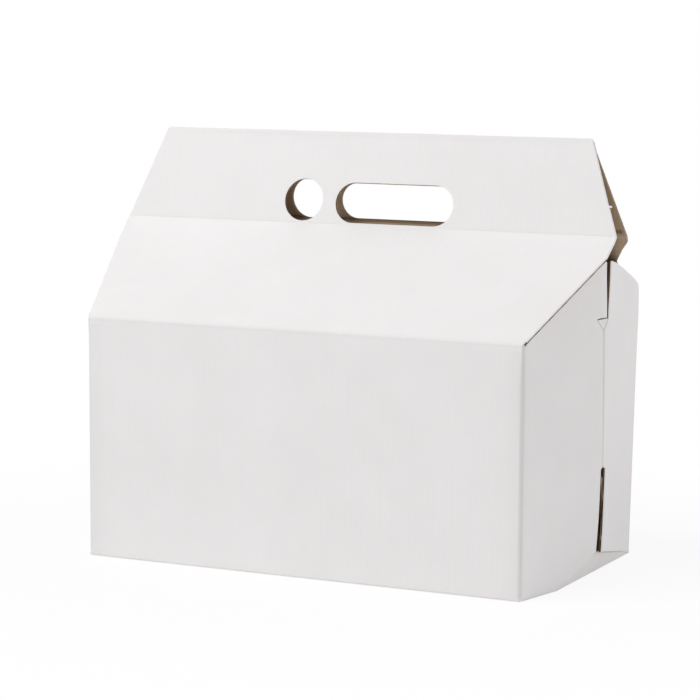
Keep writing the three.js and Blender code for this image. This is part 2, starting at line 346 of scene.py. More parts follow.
def board_piece(
    name: str,
    surface: Surface,
    u: np.ndarray,
    v: np.ndarray,
    board: Board,
    across: Surface,
    score: Surface,
) -> bpy.types.Object:
    """Builds a closed piece of board from a surface of two parameters.

    The outside is the surface at depth 0 and the inside the surface at the board's thickness.
    Between them a cut edge runs round the rim, and both liners roll over it by the lip.

    Args:
        name: The piece's name.
        surface: Point for arrays of u, v and depth.
        u: Values of the first parameter.
        v: Values of the second parameter.
        board: The board's thickness and lips.
        across: Distance across the flutes for u, v and depth.
        score: Closeness to a fold for u, v and depth.

    Returns:
        The piece, with one material index for each board face.
    """
    columns, rows = len(u), len(v)
    grid_u, grid_v = np.meshgrid(u, v, indexing="ij")
    count = columns * rows
    outer = surface(grid_u, grid_v, np.zeros_like(grid_u))
    inner = surface(grid_u, grid_v, np.full_like(grid_u, board.thickness))
    draw_in(outer, board.outer_lip)
    draw_in(inner, board.lip)
    ring = ring_of(columns, rows)
    ring_u, ring_v = grid_u.ravel()[ring], grid_v.ravel()[ring]
    lips = [board.outer_lip, board.thickness - board.lip]
    rims = [surface(ring_u, ring_v, np.full(len(ring), lip)) for lip in lips]
    points = np.concatenate([outer.reshape(-1, 3), inner.reshape(-1, 3), *rims])
    loops = [np.arange(len(ring)) + start for start in (2 * count, 2 * count + len(ring))]
    outside = grid_quads(columns, rows)
    inside = grid_quads(columns, rows, count)[:, ::-1]
    upper_lip = strip_quads(ring, loops[0])
    cut_edge = strip_quads(loops[0], loops[1])
    lower_lip = strip_quads(loops[1], ring + count)
    quads = np.concatenate([outside, upper_lip, inside, lower_lip, cut_edge])
    middle = (columns // 2) * rows + rows // 2
    quad = points[outside[(columns // 2) * (rows - 1) + rows // 2]]
    normal = np.cross(quad[1] - quad[0], quad[3] - quad[0])
    if normal @ (points[middle] - points[middle + count]) < 0:
        quads = quads[:, ::-1]
    counts = [len(outside) + len(upper_lip), len(inside) + len(lower_lip), len(cut_edge)]
    faces = np.repeat([face.value for face in BoardFace], counts)
    us = np.concatenate([grid_u.ravel(), grid_u.ravel(), ring_u, ring_u])
    vs = np.concatenate([grid_v.ravel(), grid_v.ravel(), ring_v, ring_v])
    depths = np.repeat([0, board.thickness, *lips], [count, count, len(ring), len(ring)])
    flute = np.stack([across(us, vs, depths), depths / board.thickness], axis=-1)
    mesh = new_mesh(name, points, quads.tolist(), flute, score(us, vs, depths))
    mesh.polygons.foreach_set("material_index", faces.astype(np.int32))
    set_smooth(mesh)
    return link_object(name, mesh)


def no_score(u: np.ndarray, v: np.ndarray, depth: np.ndarray) -> np.ndarray:
    """No fold anywhere."""
    return np.zeros_like(u)


def cut_away(
    piece: bpy.types.Object, tools: list[bpy.types.Object], finish: bpy.types.Material
) -> None:
    """Cuts tools out of a piece, keeps the result in its mesh and deletes the tools.

    Args:
        piece: The piece to cut.
        tools: Closed meshes that are taken away.
        finish: The finish of the walls that they leave.
    """
    for tool in tools:
        tool.data.materials.append(finish)
        cutter = piece.modifiers.new(tool.name, "BOOLEAN")
        cutter.operation = "DIFFERENCE"
        cutter.solver = "EXACT"
        cutter.material_mode = "TRANSFER"
        cutter.object = tool
    evaluated = piece.evaluated_get(bpy.context.evaluated_depsgraph_get())
    cut_mesh = bpy.data.meshes.new_from_object(evaluated)
    piece.modifiers.clear()
    old_mesh = piece.data
    piece.data = cut_mesh
    cut_mesh.name = piece.name
    bpy.data.meshes.remove(old_mesh)
    for tool in tools:
        tool_mesh = tool.data
        bpy.data.objects.remove(tool)
        bpy.data.meshes.remove(tool_mesh)
    set_smooth(cut_mesh)


def place(piece: bpy.types.Object, body: str) -> bpy.types.Object:
    """Lets a piece ride on a body and reports it.

    Args:
        piece: The finished piece.
        body: The body's name.

    Returns:
        The same piece.
    """
    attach(piece, body)
    LOG.info("%s rides on %s: %d faces", piece.name, body, len(piece.data.polygons))
    return piece


@dataclass(frozen=True)
class FoldedPath:
    """A line of straight panels in the side view, joined by round folds.

    Each fold is an arc whose radius is that of the middle of the board. A point is given by its
    distance along the straight panels, as if the folds were sharp. Beyond each arc a panel
    has a point of its own after a short hold, and no other point closer than the clearance.
    """

    corners: np.ndarray
    rolls: np.ndarray
    steps: int = 8
    hold: float = 0.5 * MM
    clear: float = 1.2 * MM

    @property
    def marks(self) -> np.ndarray:
        """Distance of each corner along the line."""
        return np.concatenate([[0.0], np.cumsum(self.lengths)])

    @property
    def lengths(self) -> np.ndarray:
        """Length of each straight panel."""
        return np.linalg.norm(np.diff(self.corners, axis=0), axis=1)

    @property
    def headings(self) -> np.ndarray:
        """Angle of each straight panel above +Y."""
        runs = np.diff(self.corners, axis=0)
        return np.unwrap(np.arctan2(runs[:, 1], runs[:, 0]))

    @property
    def reaches(self) -> np.ndarray:
        """How far each fold's arc reaches along the panels beside it."""
        turns = np.diff(self.headings)
        return self.rolls * np.tan(np.abs(turns) / 2)

    def samples(self, spacing: float) -> np.ndarray:
        """Distances that follow the folds closely and the panels loosely.

        Args:
            spacing: Distance between points on a panel.

        Returns:
            Rising distances along the line.
        """
        marks = self.marks
        folds = marks[1:-1, None]
        share = np.linspace(-1, 1, 2 * self.steps + 1)[None, :]
        arcs = folds + share * self.reaches[:, None]
        holds = folds + np.array([[-1.0, 1.0]]) * (self.reaches[:, None] + self.hold)
        count = int(math.ceil(marks[-1] / spacing)) + 1
        plain = np.linspace(0, marks[-1], count)
        near = np.abs(plain[:, None] - marks[None, 1:-1]) < self.reaches + self.clear
        plain = plain[~near.any(axis=1)]
        every = np.concatenate([plain, arcs.ravel(), holds.ravel(), marks[[0, -1]]])
        decimals = 7
        return np.unique(np.round(every, decimals))

    def place(self, s: np.ndarray) -> tuple[np.ndarray, np.ndarray]:
        """Middle point and outward normal at distances along the line.

        On a panel the point runs straight. In a fold the heading turns evenly between the two
        panels, and the point lies on the arc that touches both.

        Args:
            s: Distances along the line.

        Returns:
            Points and unit normals in [y, z], with the outside on the left of the line.
        """
        marks, headings, reaches = self.marks, self.headings, self.reaches
        panel = np.clip(np.searchsorted(marks, s, side="right") - 1, 0, len(headings) - 1)
        direction = np.stack([np.cos(headings), np.sin(headings)], axis=-1)
        points = self.corners[panel] + direction[panel] * (s - marks[panel])[..., None]
        angle = headings[panel]
        for index in range(len(reaches)):
            offset = s - marks[index + 1]
            inside = np.abs(offset) < reaches[index]
            turn = headings[index + 1] - headings[index]
            share = np.clip((offset / reaches[index] + 1) / 2, 0, 1)
            heading = headings[index] + share * turn
            start = self.corners[index + 1] - direction[index] * reaches[index]
            bend = math.copysign(self.rolls[index], turn)
            arc = np.stack(
                [
                    start[0] + bend * (np.sin(heading) - math.sin(headings[index])),
                    start[1] - bend * (np.cos(heading) - math.cos(headings[index])),
                ],
                axis=-1,
            )
            points = np.where(inside[..., None], arc, points)
            angle = np.where(inside, heading, angle)
        return points, np.stack([-np.sin(angle), np.cos(angle)], axis=-1)

    def fold_score(self, s: np.ndarray) -> np.ndarray:
        """Closeness to the folds: a bell round each one, as wide as its arc.

        Args:
            s: Distances along the line.

        Returns:
            1 in the middle of a fold, and 0 far from all.
        """
        wide = self.reaches[None, :] + self.hold
        bells = np.exp(-(((s.ravel()[:, None] - self.marks[None, 1:-1]) / wide) ** 2))
        return bells.max(axis=1).reshape(s.shape)


@dataclass
class GableLid:
    """The lid: one strip of board over both roofs, both handle panels and the tuck flap.

    The back holes differ a little from the front ones, and the right edge has a small nick, so
    each has sizes of its own. Heights are distances along the strip.
    """

    carton: Carton
    hinge_reach: float = 3 * MM
    front_ear_foot: float = 18 * MM
    ear_depth: float = 5.5 * MM
    left_break: float = 14 * MM
    left_inset: float = 2.3 * MM
    right_fold_reach: float = 0.6 * MM
    right_top_reach: float = 0.5 * MM
    ridge_tightness: float = 0.97
    back_ridge_inset: float = 1.7 * MM
    back_neck: float = 26 * MM
    neck_bends: tuple[tuple[float, float], ...] = ((0.2, 1.2 * MM), (0.52, 6.5 * MM))
    side_clearance: float = 0.9 * MM
    tuck_clearance: float = 0.9 * MM
    tuck_length: float = 25 * MM
    tuck_lean: float = 2.5 * MM
    tuck_half: float = 115 * MM
    tuck_corner: float = 14 * MM
    tuck_step: tuple[float, float] = (0.8 * MM, 1.2 * MM)
    slot_length: float = 69 * MM
    slot_height: float = 22 * MM
    slot_x: float = 17.4 * MM
    slot_sill: float = 1.4 * MM
    hole_diameter: float = 23 * MM
    hole_x: float = -36.2 * MM
    hole_sill: float = 1.6 * MM
    back_shift: float = -2.8 * MM
    back_slot_rise: float = 1.8 * MM
    back_slot_shrink: float = 2.9 * MM
    back_hole_rise: float = 1.08 * MM
    back_hole_shrink: float = 1.45 * MM
    cut_reach: float = 2.4 * MM
    arc_points: int = 33
    nick_height: float = 15.3 * MM
    nick_length: float = 1.3 * MM
    nick_width: float = 1.0 * MM
    nick_ramp: float = 0.1 * MM
    nick_taper: float = 0.8
    nick_notch: float = 0.6 * MM
    score_offset: float = 2.3 * MM
    score_depth: float = 0.6 * MM
    score_half: float = 1.1 * MM
    score_ramp: float = 0.35 * MM
    score_margin: float = 1.6 * MM
    score_fade: float = 0.6 * MM
    score_rows: tuple[float, ...] = (0.5 * MM, 0.75 * MM, 1.0 * MM, 1.2 * MM)
    # Strength of the score mask on the folds: painted shade on the white and a painted highlight on
    # the brown.
    fold_mark: float = 0.8
    outer_lip: float = 0.55 * MM
    row_spacing: float = 5 * MM
    edge_columns: tuple[float, ...] = (0, 0.0031, 0.0056, 0.0083)
    first_column: float = 0.02
    inner_columns: int = 57

    @property
    def tuck_y(self) -> float:
        """Middle of the board at the tuck fold, inside the back wall."""
        wall = float(self.carton.wall_y(np.array(self.carton.wall_height)))
        return wall - self.carton.board.thickness - self.tuck_clearance

    @property
    def path(self) -> FoldedPath:
        """The strip's line in the side view.

        Returns:
            The line from the front hinge to the end of the tuck flap.
        """
        carton = self.carton
        foot, fold_z = carton.foot, carton.handle_fold_z
        fold_y, roll = carton.handle_fold_y, carton.ridge_roll
        along = carton.roof_along
        start = [-foot[0] - along[0] * self.hinge_reach, foot[1] + along[1] * self.hinge_reach]
        tuck_z = float(carton.roof_z(np.array(self.tuck_y)))
        top = carton.ridge_z + roll
        back = carton.ridge_back
        corners = np.array(
            [
                start,
                [-fold_y, fold_z],
                [-roll + back, top],
                [roll + back, top],
                [fold_y, fold_z],
                [self.tuck_y, tuck_z],
                [self.tuck_y - self.tuck_lean, tuck_z - self.tuck_length],
            ]
        )
        fold, ridge = carton.board.fold_roll, roll * self.ridge_tightness
        return FoldedPath(corners, np.array([fold, ridge, ridge, fold, fold]))

    @property
    def score_centres(self) -> np.ndarray:
        """Middles of the two pressed grooves, as distances along the strip."""
        marks = self.path.marks
        return np.array([marks[1] + self.score_offset, marks[4] - self.score_offset])

    def end_half(self, y: float, z: float) -> float:
        """Half width that clears the inside of the ends at a place.

        Args:
            y: Distance from the box's middle towards the wall.
            z: Height.

        Returns:
            Distance from the middle plane.
        """
        carton = self.carton
        slope = carton.end_bulge / carton.corner_y
        end = carton.corner_x + slope * (float(carton.wall_y(np.array(z))) - y)
        return end - carton.board.half - self.side_clearance

    def half_widths(self, s: np.ndarray, side: Side) -> np.ndarray:
        """Half width of the strip, straight between named places along its line.

        Args:
            s: Distances along the line.
            side: The edge wanted.

        Returns:
            Distance from the middle plane to that edge.
        """
        carton, marks = self.carton, self.path.marks
        tuck_z = float(carton.roof_z(np.array(self.tuck_y)))
        neck_y = carton.handle_fold_y - self.back_neck * carton.roof_along[0]
        neck = self.end_half(neck_y, float(carton.roof_z(np.array(neck_y))))
        tuck = self.end_half(self.tuck_y, tuck_z)
        ear, fold, top = carton.ear_half, carton.fold_half, carton.ridge_half
        places = [(marks[0] - self.hinge_reach, carton.length / 2)]
        if side is Side.RIGHT:
            top = top + self.right_top_reach
            nick = marks[1] + self.nick_height
            wide = fold + self.right_fold_reach
            beside = wide + (top - wide) * self.nick_height / (marks[2] - marks[1])
            places += [
                (marks[1] - self.front_ear_foot, ear),
                (marks[1] - self.ear_depth, ear),
                (marks[1], wide),
                (nick - self.nick_ramp, beside),
                (nick, beside + self.nick_length),
                (nick + self.nick_width, beside + self.nick_length * self.nick_taper),
                (nick + self.nick_width + self.nick_ramp, beside - self.nick_notch),
            ]
        else:
            places += [(marks[1] - self.left_break, fold - self.left_inset), (marks[1], fold)]
        places += [(marks[2], top), (marks[3], top - self.back_ridge_inset), (marks[4], fold)]
        for share, inset in self.neck_bends:
            places.append((marks[4] + share * self.back_neck, fold - inset))
        places += [
            (marks[4] + self.back_neck, neck),
            (marks[5] - self.tuck_step[0], tuck),
            (marks[5] + self.tuck_step[1], self.tuck_half),
            (marks[6] - self.tuck_corner, self.tuck_half),
            (marks[6], self.tuck_half - self.tuck_corner),
        ]
        table = np.array(places)
        return np.interp(s, table[:, 0], table[:, 1])

    def surface(self, u: np.ndarray, v: np.ndarray, depth: np.ndarray) -> np.ndarray:
        """Point of the strip.

        Args:
            u: Share of the way across, between the strip's two edges.
            v: Distance along the strip's line.
            depth: Depth below the outside.

        Returns:
            The points.
        """
        middle, normal = self.path.place(v)
        left = -self.half_widths(v, Side.LEFT)
        right = self.half_widths(v, Side.RIGHT)
        x = left + (right - left) * u
        lift = self.carton.board.half - depth + self.pressed_score(x, v, depth)
        section = middle + normal * lift[..., None]
        return np.concatenate([x[..., None], section], axis=-1)

    def pressed_score(self, x: np.ndarray, s: np.ndarray, depth: np.ndarray) -> np.ndarray:
        """Groove pressed into the inside beside each handle fold: a flat-bottomed bell.

        Args:
            x: Distance from the middle plane.
            s: Distance along the strip.
            depth: Depth in the board; only the inside is pressed.

        Returns:
            How far the inside moves towards the outside.
        """
        away = np.abs(s[..., None] - self.score_centres).min(axis=-1)
        bell = eased((self.score_half - away) / self.score_ramp)
        end = self.half_widths(s, Side.RIGHT) - self.score_margin
        short = eased((end - np.abs(x)) / self.score_fade)
        inside = depth > self.carton.board.half
        return np.where(inside, self.score_depth * bell * short, 0.0)

    def across(self, u: np.ndarray, v: np.ndarray, depth: np.ndarray) -> np.ndarray:
        """The flutes run up the strip, so the distance across them is x."""
        return self.surface(u, v, depth)[..., 0]

    def score(self, u: np.ndarray, v: np.ndarray, depth: np.ndarray) -> np.ndarray:
        """Closeness to the lid's folds, and below zero in the grooves pressed into the inside.

        Args:
            u: Share of the way across.
            v: Distance along the strip's line.
            depth: Depth below the outside.

        Returns:
            The score.
        """
        x = self.surface(u, v, depth)[..., 0]
        pressed = self.pressed_score(x, v, depth) / self.score_depth
        grooved = pressed > 0.05
        return np.where(grooved, -pressed, self.fold_mark * self.path.fold_score(v))

    def rows(self) -> np.ndarray:
        """Distances along the strip that hold its folds and the breaks in its edges.

        Returns:
            Rising distances.
        """
        path = self.path
        marks = path.marks
        before = [self.front_ear_foot, self.ear_depth, self.left_break]
        after = [share * self.back_neck for share, _ in self.neck_bends] + [self.back_neck]
        tuck = [-self.tuck_step[0], self.tuck_step[1]]
        wide, ramp = self.nick_width, self.nick_ramp
        groove = np.array(self.score_rows)
        pressed = self.score_centres[:, None] + np.concatenate([-groove, [0], groove])[None, :]
        breaks = [
            path.samples(self.row_spacing),
            marks[1] - np.array(before),
            marks[1] + self.nick_height + np.array([-ramp, 0, wide, wide + ramp]),
            marks[4] + np.array(after),
            marks[5] + np.array(tuck),
            marks[6:] - self.tuck_corner,
            pressed.ravel(),
        ]
        every = np.unique(np.concatenate(breaks))
        every[0] = -self.outer_lip
        return every

    def hole_outline(self, centre: float, sill: float, length: float, height: float) -> np.ndarray:
        """A slot's outline: two half circles joined by straight sides.

        Args:
            centre: X of the slot's middle.
            sill: Distance from the handle fold to the slot's lower side.
            length: Overall length.
            height: Overall height, which is the diameter of its ends.

        Returns:
            Points as [x, distance up from the handle fold], anticlockwise.
        """
        radius = height / 2
        turn = np.linspace(-math.pi / 2, math.pi / 2, self.arc_points)
        shift = length / 2 - radius
        right = np.stack([shift + radius * np.cos(turn), radius * np.sin(turn)], axis=-1)
        is_round = shift < 1e-6
        half = right[:-1] if is_round else right
        return np.concatenate([half, -half]) + np.array([centre, sill + radius])

    def cutter(self, name: str, outline: np.ndarray, front: bool) -> bpy.types.Object:
        """A prism through one handle panel, square to it.

        Args:
            name: Name of the temporary object.
            outline: Points as [x, distance up from the handle fold].
            front: Whether it cuts the front handle panel.

        Returns:
            The prism, whose walls carry the cut edge's finish.
        """
        path, reach = self.path, self.cut_reach
        corner, panel, way = (1, 1, 1.0) if front else (4, 3, -1.0)
        heading = path.headings[panel]
        run = np.array([math.cos(heading), math.sin(heading)])
        normal = np.array([-run[1], run[0]])
        middle = path.corners[corner] + way * outline[:, 1:] * run
        rings = [np.column_stack([outline[:, 0], middle + normal * t]) for t in (reach, -reach)]
        points = np.concatenate(rings)
        count = len(outline)
        ring = np.arange(count)
        after = np.roll(ring, -1)
        walls = np.stack([ring, after, after + count, ring + count], axis=-1)
        faces = walls.tolist() + [ring[::-1].tolist(), (ring + count).tolist()]
        share = reach / self.carton.board.thickness
        flute = np.column_stack([points[:, 0], np.repeat([0.5 - share, 0.5 + share], count)])
        mesh = new_mesh(name, points, faces, flute, np.zeros(len(points)))
        recalculate(mesh)
        return link_object(name, mesh)

    def build(self, finishes: "BoardFinishes") -> bpy.types.Object:
        """Makes the strip, cuts its four holes and puts it on the lid.

        Args:
            finishes: The board's materials.

        Returns:
            The finished piece.
        """
        margin, first = np.array(self.edge_columns), self.first_column
        inner = np.linspace(first, 1 - first, self.inner_columns)
        u = np.concatenate([margin, inner, 1 - margin[::-1]])
        board = replace(self.carton.board, outer_lip=self.outer_lip)
        lid = board_piece(
            "lid_strip", self.surface, u, self.rows(), board, self.across, self.score
        )
        finishes.dress(lid)
        slot = [self.slot_x, self.slot_sill, self.slot_length, self.slot_height]
        hole = [self.hole_x, self.hole_sill, self.hole_diameter, self.hole_diameter]
        shift, less = self.back_shift, self.back_hole_shrink
        slot_change = [shift, self.back_slot_rise, 0, -self.back_slot_shrink]
        hole_change = [shift, self.back_hole_rise, -less, -less]
        back_slot = np.add(slot, slot_change)
        back_hole = np.add(hole, hole_change)
        cuts = [(slot, True), (hole, True), (back_slot, False), (back_hole, False)]
        tools = [
            self.cutter(f"cutter_{index}", self.hole_outline(*sizes), front)
            for index, (sizes, front) in enumerate(cuts)
        ]
        cut_away(lid, tools, finishes.cut_edge)
        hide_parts("gable_lid")
        return place(lid, "lid")


@dataclass
class EndShape:
    """The surface that both halves of an end share, and the lines that part them.

    The tables give a place along Y, or a gap beside the line, at a height, in millimetres. A
    gap below zero is an overlap, so that the halves meet along the crease.
    """

    carton: Carton
    crease_bottom: float = 59 * MM
    crease_top: float = 130.4 * MM
    slit_foot: float = 137 * MM
    web_rise: float = 13.8 * MM
    web_apex_y: float = 43 * MM
    foot_bends: tuple[tuple[float, float], ...] = ((8 * MM, 11 * MM), (33 * MM, 3.6 * MM))
    foot_tuck: float = 1.7 * MM
    tuck_power: float = 1.5
    tuck_limit: float = 1.15
    lean_in: float = 0.9 * MM
    lean_rise: float = 37 * MM
    lean_share: float = 1.6
    back_proud: float = 0.5 * MM
    back_fall: tuple[float, float] = (60 * MM, 46 * MM)
    head_proud: float = 0.9 * MM
    head_fall: tuple[float, float] = (36 * MM, 24 * MM)
    relief_left: float = -10.6 * MM
    relief_press: float = 0.8 * MM
    line: Table = (
        (0, 1.0), (57, 1.0), (59, 0.7), (94, -1.3), (130.4, -3.6), (137, 2.8), (166, 2.8)
    )
    front_gaps: Table = (
        (0, 1.4), (16, 1.4), (31, 1.5), (45, 2.1), (57.6, 2.4),
        (58.6, -0.3), (130.4, -0.3), (136.6, -0.3), (137.2, 2.2), (166, 2.8),
    )
    back_gaps: Table = (
        (0, 0.4), (13, 0.4), (28, 2.7), (42, 4.4), (57.6, 5.6),
        (58.6, -0.3), (130.4, -0.3), (136.6, -0.3), (137.2, 0.3), (166, 1.7),
    )

    def line_y(self, z: np.ndarray) -> np.ndarray:
        """Y of the line between the halves: the crease leans forward as it rises."""
        return along_table(z, self.line)

    def front_edge_y(self, z: np.ndarray) -> np.ndarray:
        """Y of the front half's inner edge, which opens into a slit below and above the crease."""
        return self.line_y(z) - along_table(z, self.front_gaps)

    def back_edge_y(self, z: np.ndarray) -> np.ndarray:
        """Y of the back half's inner edge."""
        return self.line_y(z) + along_table(z, self.back_gaps)

    def end_x(self, y: np.ndarray, z: np.ndarray) -> np.ndarray:
        """Middle of an end: it rises from each corner to the crease, which is softly rounded.

        Distance from the middle plane is the corner's, plus the slope times the distance from
        the wall. Near the crease the tip is a hyperbola that touches both slopes.

        Args:
            y: Y of the places.
            z: Their heights.

        Returns:
            Distance from the middle plane.
        """
        carton = self.carton
        slope = carton.end_bulge / carton.corner_y
        wall = carton.wall_y(z)
        tip = np.sqrt(y * y + carton.end_roll**2)
        lean_in = self.lean_in * eased((z - carton.wall_height) / self.lean_rise)
        return carton.corner_x + slope * (wall - tip) - lean_in * eased(self.lean_share - tip / wall)

    def front_tuck(self, y: np.ndarray, z: np.ndarray) -> np.ndarray:
        """How far the foot of the front half bends in: it grows with distance from a soft bend.

        The bend is the line from the web's apex on the base to the foot of the crease.

        Args:
            y: Y of the places.
            z: Their heights.

        Returns:
            Distance inwards.
        """
        apex = np.array([-self.web_apex_y, 0.0])
        head = np.array([0.0, self.crease_bottom])
        run = head - apex
        square = np.array([run[1], -run[0]]) / np.linalg.norm(run)
        offset = (y - apex[0]) * square[0] + (z - apex[1]) * square[1]
        far = self.web_apex_y * square[0] + self.web_rise * square[1]
        share = np.clip(offset / far, 0, self.tuck_limit)
        return self.foot_tuck * share**self.tuck_power

    def foot_point(self, y: float, z: float) -> np.ndarray:
        """Point on the middle of the board at the foot of the right front half."""
        at_y, at_z = np.array(y), np.array(z)
        return np.array([float(self.end_x(at_y, at_z) - self.front_tuck(at_y, at_z)), y, z])

    def back_stand(self, y: np.ndarray, z: np.ndarray) -> np.ndarray:
        """How far the free corners beside the slits stand proud: each an eased fall both ways.

        Args:
            y: Y of the places.
            z: Their heights.

        Returns:
            Distance outwards.
        """
        foot = eased(1 - y / self.back_fall[0]) * eased(1 - (z - self.web_rise) / self.back_fall[1])
        head = eased(1 - y / self.head_fall[0]) * eased((z - self.slit_foot) / self.head_fall[1])
        return self.back_proud * foot + self.head_proud * head

    def relief(self, y: np.ndarray, z: np.ndarray) -> np.ndarray:
        """Depth of the small triangle pressed in at the head of the crease.

        It grows from nothing at the triangle's foot to its top edge, and across it is a bell
        that is zero at both sides.

        Args:
            y: Y of the places.
            z: Their heights.

        Returns:
            Distance inwards.
        """
        along = (z - self.crease_top) / (self.slit_foot - self.crease_top)
        foot = float(self.line_y(np.array(self.crease_top)))
        head = float(self.line_y(np.array(self.slit_foot)))
        left = foot + (self.relief_left - foot) * along
        right = foot + (head - foot) * along
        share = (y - left) / np.maximum(right - left, 1e-6)
        bell = 1 - np.abs(2 * np.clip(share, 0, 1) - 1) ** 3
        return np.where((along > 0) & (along < 1), self.relief_press * along * bell, 0)


@dataclass
class EndWrap:
    """A long wall with the halves of both ends that hang on it, as one folded sheet.

    The first parameter runs round the box from the crease of one end to that of the other: it
    is 0 to 1 on the wall, then takes the arc's span round a corner, and 1 more on the end. The
    second runs up the sheet. The tab's outline is a table of height at a distance, in
    millimetres.
    """

    carton: Carton
    ends: EndShape
    front: bool
    shadow_gap: float = 0.7 * MM
    gap_end: float = 80 * MM
    gap_fade: float = 8 * MM
    tight_roll: float = 0.8 * MM
    tight_below: float = 18 * MM
    tight_over: float = 17 * MM
    corner_rise: float = 0.2 * MM
    back_foot: tuple[float, float] = (3 * MM, 80 * MM)
    foot_share: float = 1.2
    # Strengths of the score mask at the corners and the crease, which the finishes turn into painted
    # shade on the white and a painted highlight on the brown.
    corner_mark: float = 1.5
    crease_mark: float = 3.4
    crease_half: float = 0.5 * MM
    arc_span: float = 0.1
    rise_span: float = 0.04
    bar_width: float = 0.6 * MM
    bar_proud: float = 3 * MM
    score_deep: float = 0.6 * MM
    cut_deep: float = 4.5 * MM
    cut_drop: float = 0.5 * MM
    cut_overrun: float = 1.2 * MM
    cut_lift: float = 0.05 * MM
    wall_columns: int = 33
    arc_columns: int = 8
    end_columns: int = 64
    rows: int = 112
    rounds: int = 9
    tab: Table = (
        (0, 166), (8.5, 166), (21.8, 164.2), (40.7, 160.4), (63, 154.9),
        (72.8, 152.2), (79, 150.2), (81.4, 148.9), (82.7, 147), (83.4, 144),
    )

    @property
    def facing(self) -> float:
        """-1 for the front wall and 1 for the back wall."""
        return -1.0 if self.front else 1.0

    @property
    def turn(self) -> float:
        """Angle that the sheet turns through at an upright corner."""
        slope = self.carton.end_bulge / self.carton.corner_y
        return math.pi / 2 - math.atan(slope)

    def roll(self, z: np.ndarray) -> np.ndarray:
        """Radius of the middle of the board round a corner: it tightens under the lid's fold."""
        tight = eased((z - self.carton.wall_height + self.tight_below) / self.tight_over)
        loose = self.carton.board.corner_roll
        return loose + (self.tight_roll - loose) * tight

    def reach(self, z: np.ndarray) -> np.ndarray:
        """How far a corner's arc reaches along the panels beside it."""
        return self.roll(z) * math.tan(self.turn / 2)

    def edge_y(self, z: np.ndarray) -> np.ndarray:
        """Distance along Y of the sheet's inner edge on the ends, positive towards the wall."""
        if self.front:
            return -self.ends.front_edge_y(z)
        return self.ends.back_edge_y(z)

    def bottom(self, y: np.ndarray) -> np.ndarray:
        """Lower outline of a half, from straight parts between named places.

        Args:
            y: Distance from the middle towards the wall.

        Returns:
            Height of the outline.
        """
        ends, half = self.ends, self.carton.board.half
        if not self.front:
            return np.interp(y, self.back_foot, [ends.web_rise, self.foot_share * half])
        places = [(-20 * MM, ends.web_rise), (3.4 * MM, ends.web_rise), *ends.foot_bends]
        places += [(ends.web_apex_y, half), (90 * MM, half)]
        table = np.array(places)
        return np.interp(y, table[:, 0], table[:, 1])

    def top(self, y: np.ndarray) -> np.ndarray:
        """Upper outline of a half: under the roof in front, and a free rounded tab behind.

        Args:
            y: Distance from the middle towards the wall.

        Returns:
            Height of the outline.
        """
        carton = self.carton
        if self.front:
            gap = self.shadow_gap * eased((self.gap_end - y) / self.gap_fade)
            below = carton.board.half + carton.rest_gap + gap
            return np.minimum(carton.roof_z(y, below), carton.slit_top)
        high = carton.slit_top / (self.tab[0][1] * MM)
        return along_table(y, self.tab) * high

    def wall_top(self) -> float:
        """Height where the long wall ends: at the hinge strip in front, at its cut edge behind."""
        if self.front:
            seam = self.carton.foot[1] - GableLid(self.carton).hinge_reach
            return seam + self.carton.board.outer_lip
        return self.carton.wall_height

    def corner_top(self) -> float:
        """Height where an upright corner ends, just under the lid's fold in front."""
        return self.carton.foot[1] + self.corner_rise if self.front else self.carton.wall_height

    def solve_end(self, share: np.ndarray, v: np.ndarray) -> tuple[np.ndarray, np.ndarray]:
        """Place on a half for a share of its width and of its height.

        Its outlines depend on each other, so the place is found by going back and forth between
        the height for a width and the width for a height, which settles in a few rounds.

        Args:
            share: 0 at the corner fold and 1 at the crease.
            v: 0 at the bottom and 1 at the top.

        Returns:
            Distance from the middle towards the wall, and height.
        """
        carton = self.carton
        z = v * carton.wall_height
        y = np.zeros_like(z)
        for _ in range(self.rounds):
            outer = carton.wall_y(z) - self.reach(z) * math.sin(self.turn)
            inner = self.edge_y(z)
            y = outer + (inner - outer) * share
            low, high = self.bottom(y), self.top(y)
            z = low + (high - low) * v
        return y, z

    def surface(self, u: np.ndarray, v: np.ndarray, depth: np.ndarray) -> np.ndarray:
        """Point of the sheet.

        On the wall it lies in a plane that leans out. Round a corner it lies on an arc about an
        upright line. On an end it lies on the end's surface, set in by depth.

        Args:
            u: Place round the box.
            v: Share of the height.
            depth: Depth below the outside.

        Returns:
            The points.
        """
        carton, board, ends, turn = self.carton, self.carton.board, self.ends, self.turn
        side = np.where(u > 0.5, 1.0, -1.0)
        past = np.where(u > 0.5, u - 1, -u)
        on_end = past > self.arc_span
        arc = np.clip(past / self.arc_span, 0, 1) * turn
        out = board.half - depth
        low_top, corner_top = self.wall_top(), self.corner_top()
        top = low_top + (corner_top - low_top) * eased(past / self.rise_span)
        z_wall = board.half + (top - board.half) * v
        centre_x = carton.corner_x - self.reach(z_wall)
        radius = self.roll(z_wall) + out
        flat_x = (2 * np.clip(u, 0, 1) - 1) * centre_x
        x = np.where(past > 0, side * (centre_x + radius * np.sin(arc)), flat_x)
        y = carton.wall_y(z_wall) + out - radius * (1 - np.cos(arc))
        end_y, end_z = self.solve_end(np.clip(past - self.arc_span, 0, 1), v)
        signed = self.facing * end_y
        if self.front:
            shift = ends.front_tuck(signed, end_z) + ends.relief(signed, end_z)
        else:
            shift = -ends.back_stand(signed, end_z)
        end_x = ends.end_x(signed, end_z) - shift + out * math.sin(turn)
        x = np.where(on_end, side * end_x, x)
        y = np.where(on_end, end_y + out * math.cos(turn), y)
        z = np.where(on_end, end_z, z_wall)
        return np.stack([x, self.facing * y, z], axis=-1)

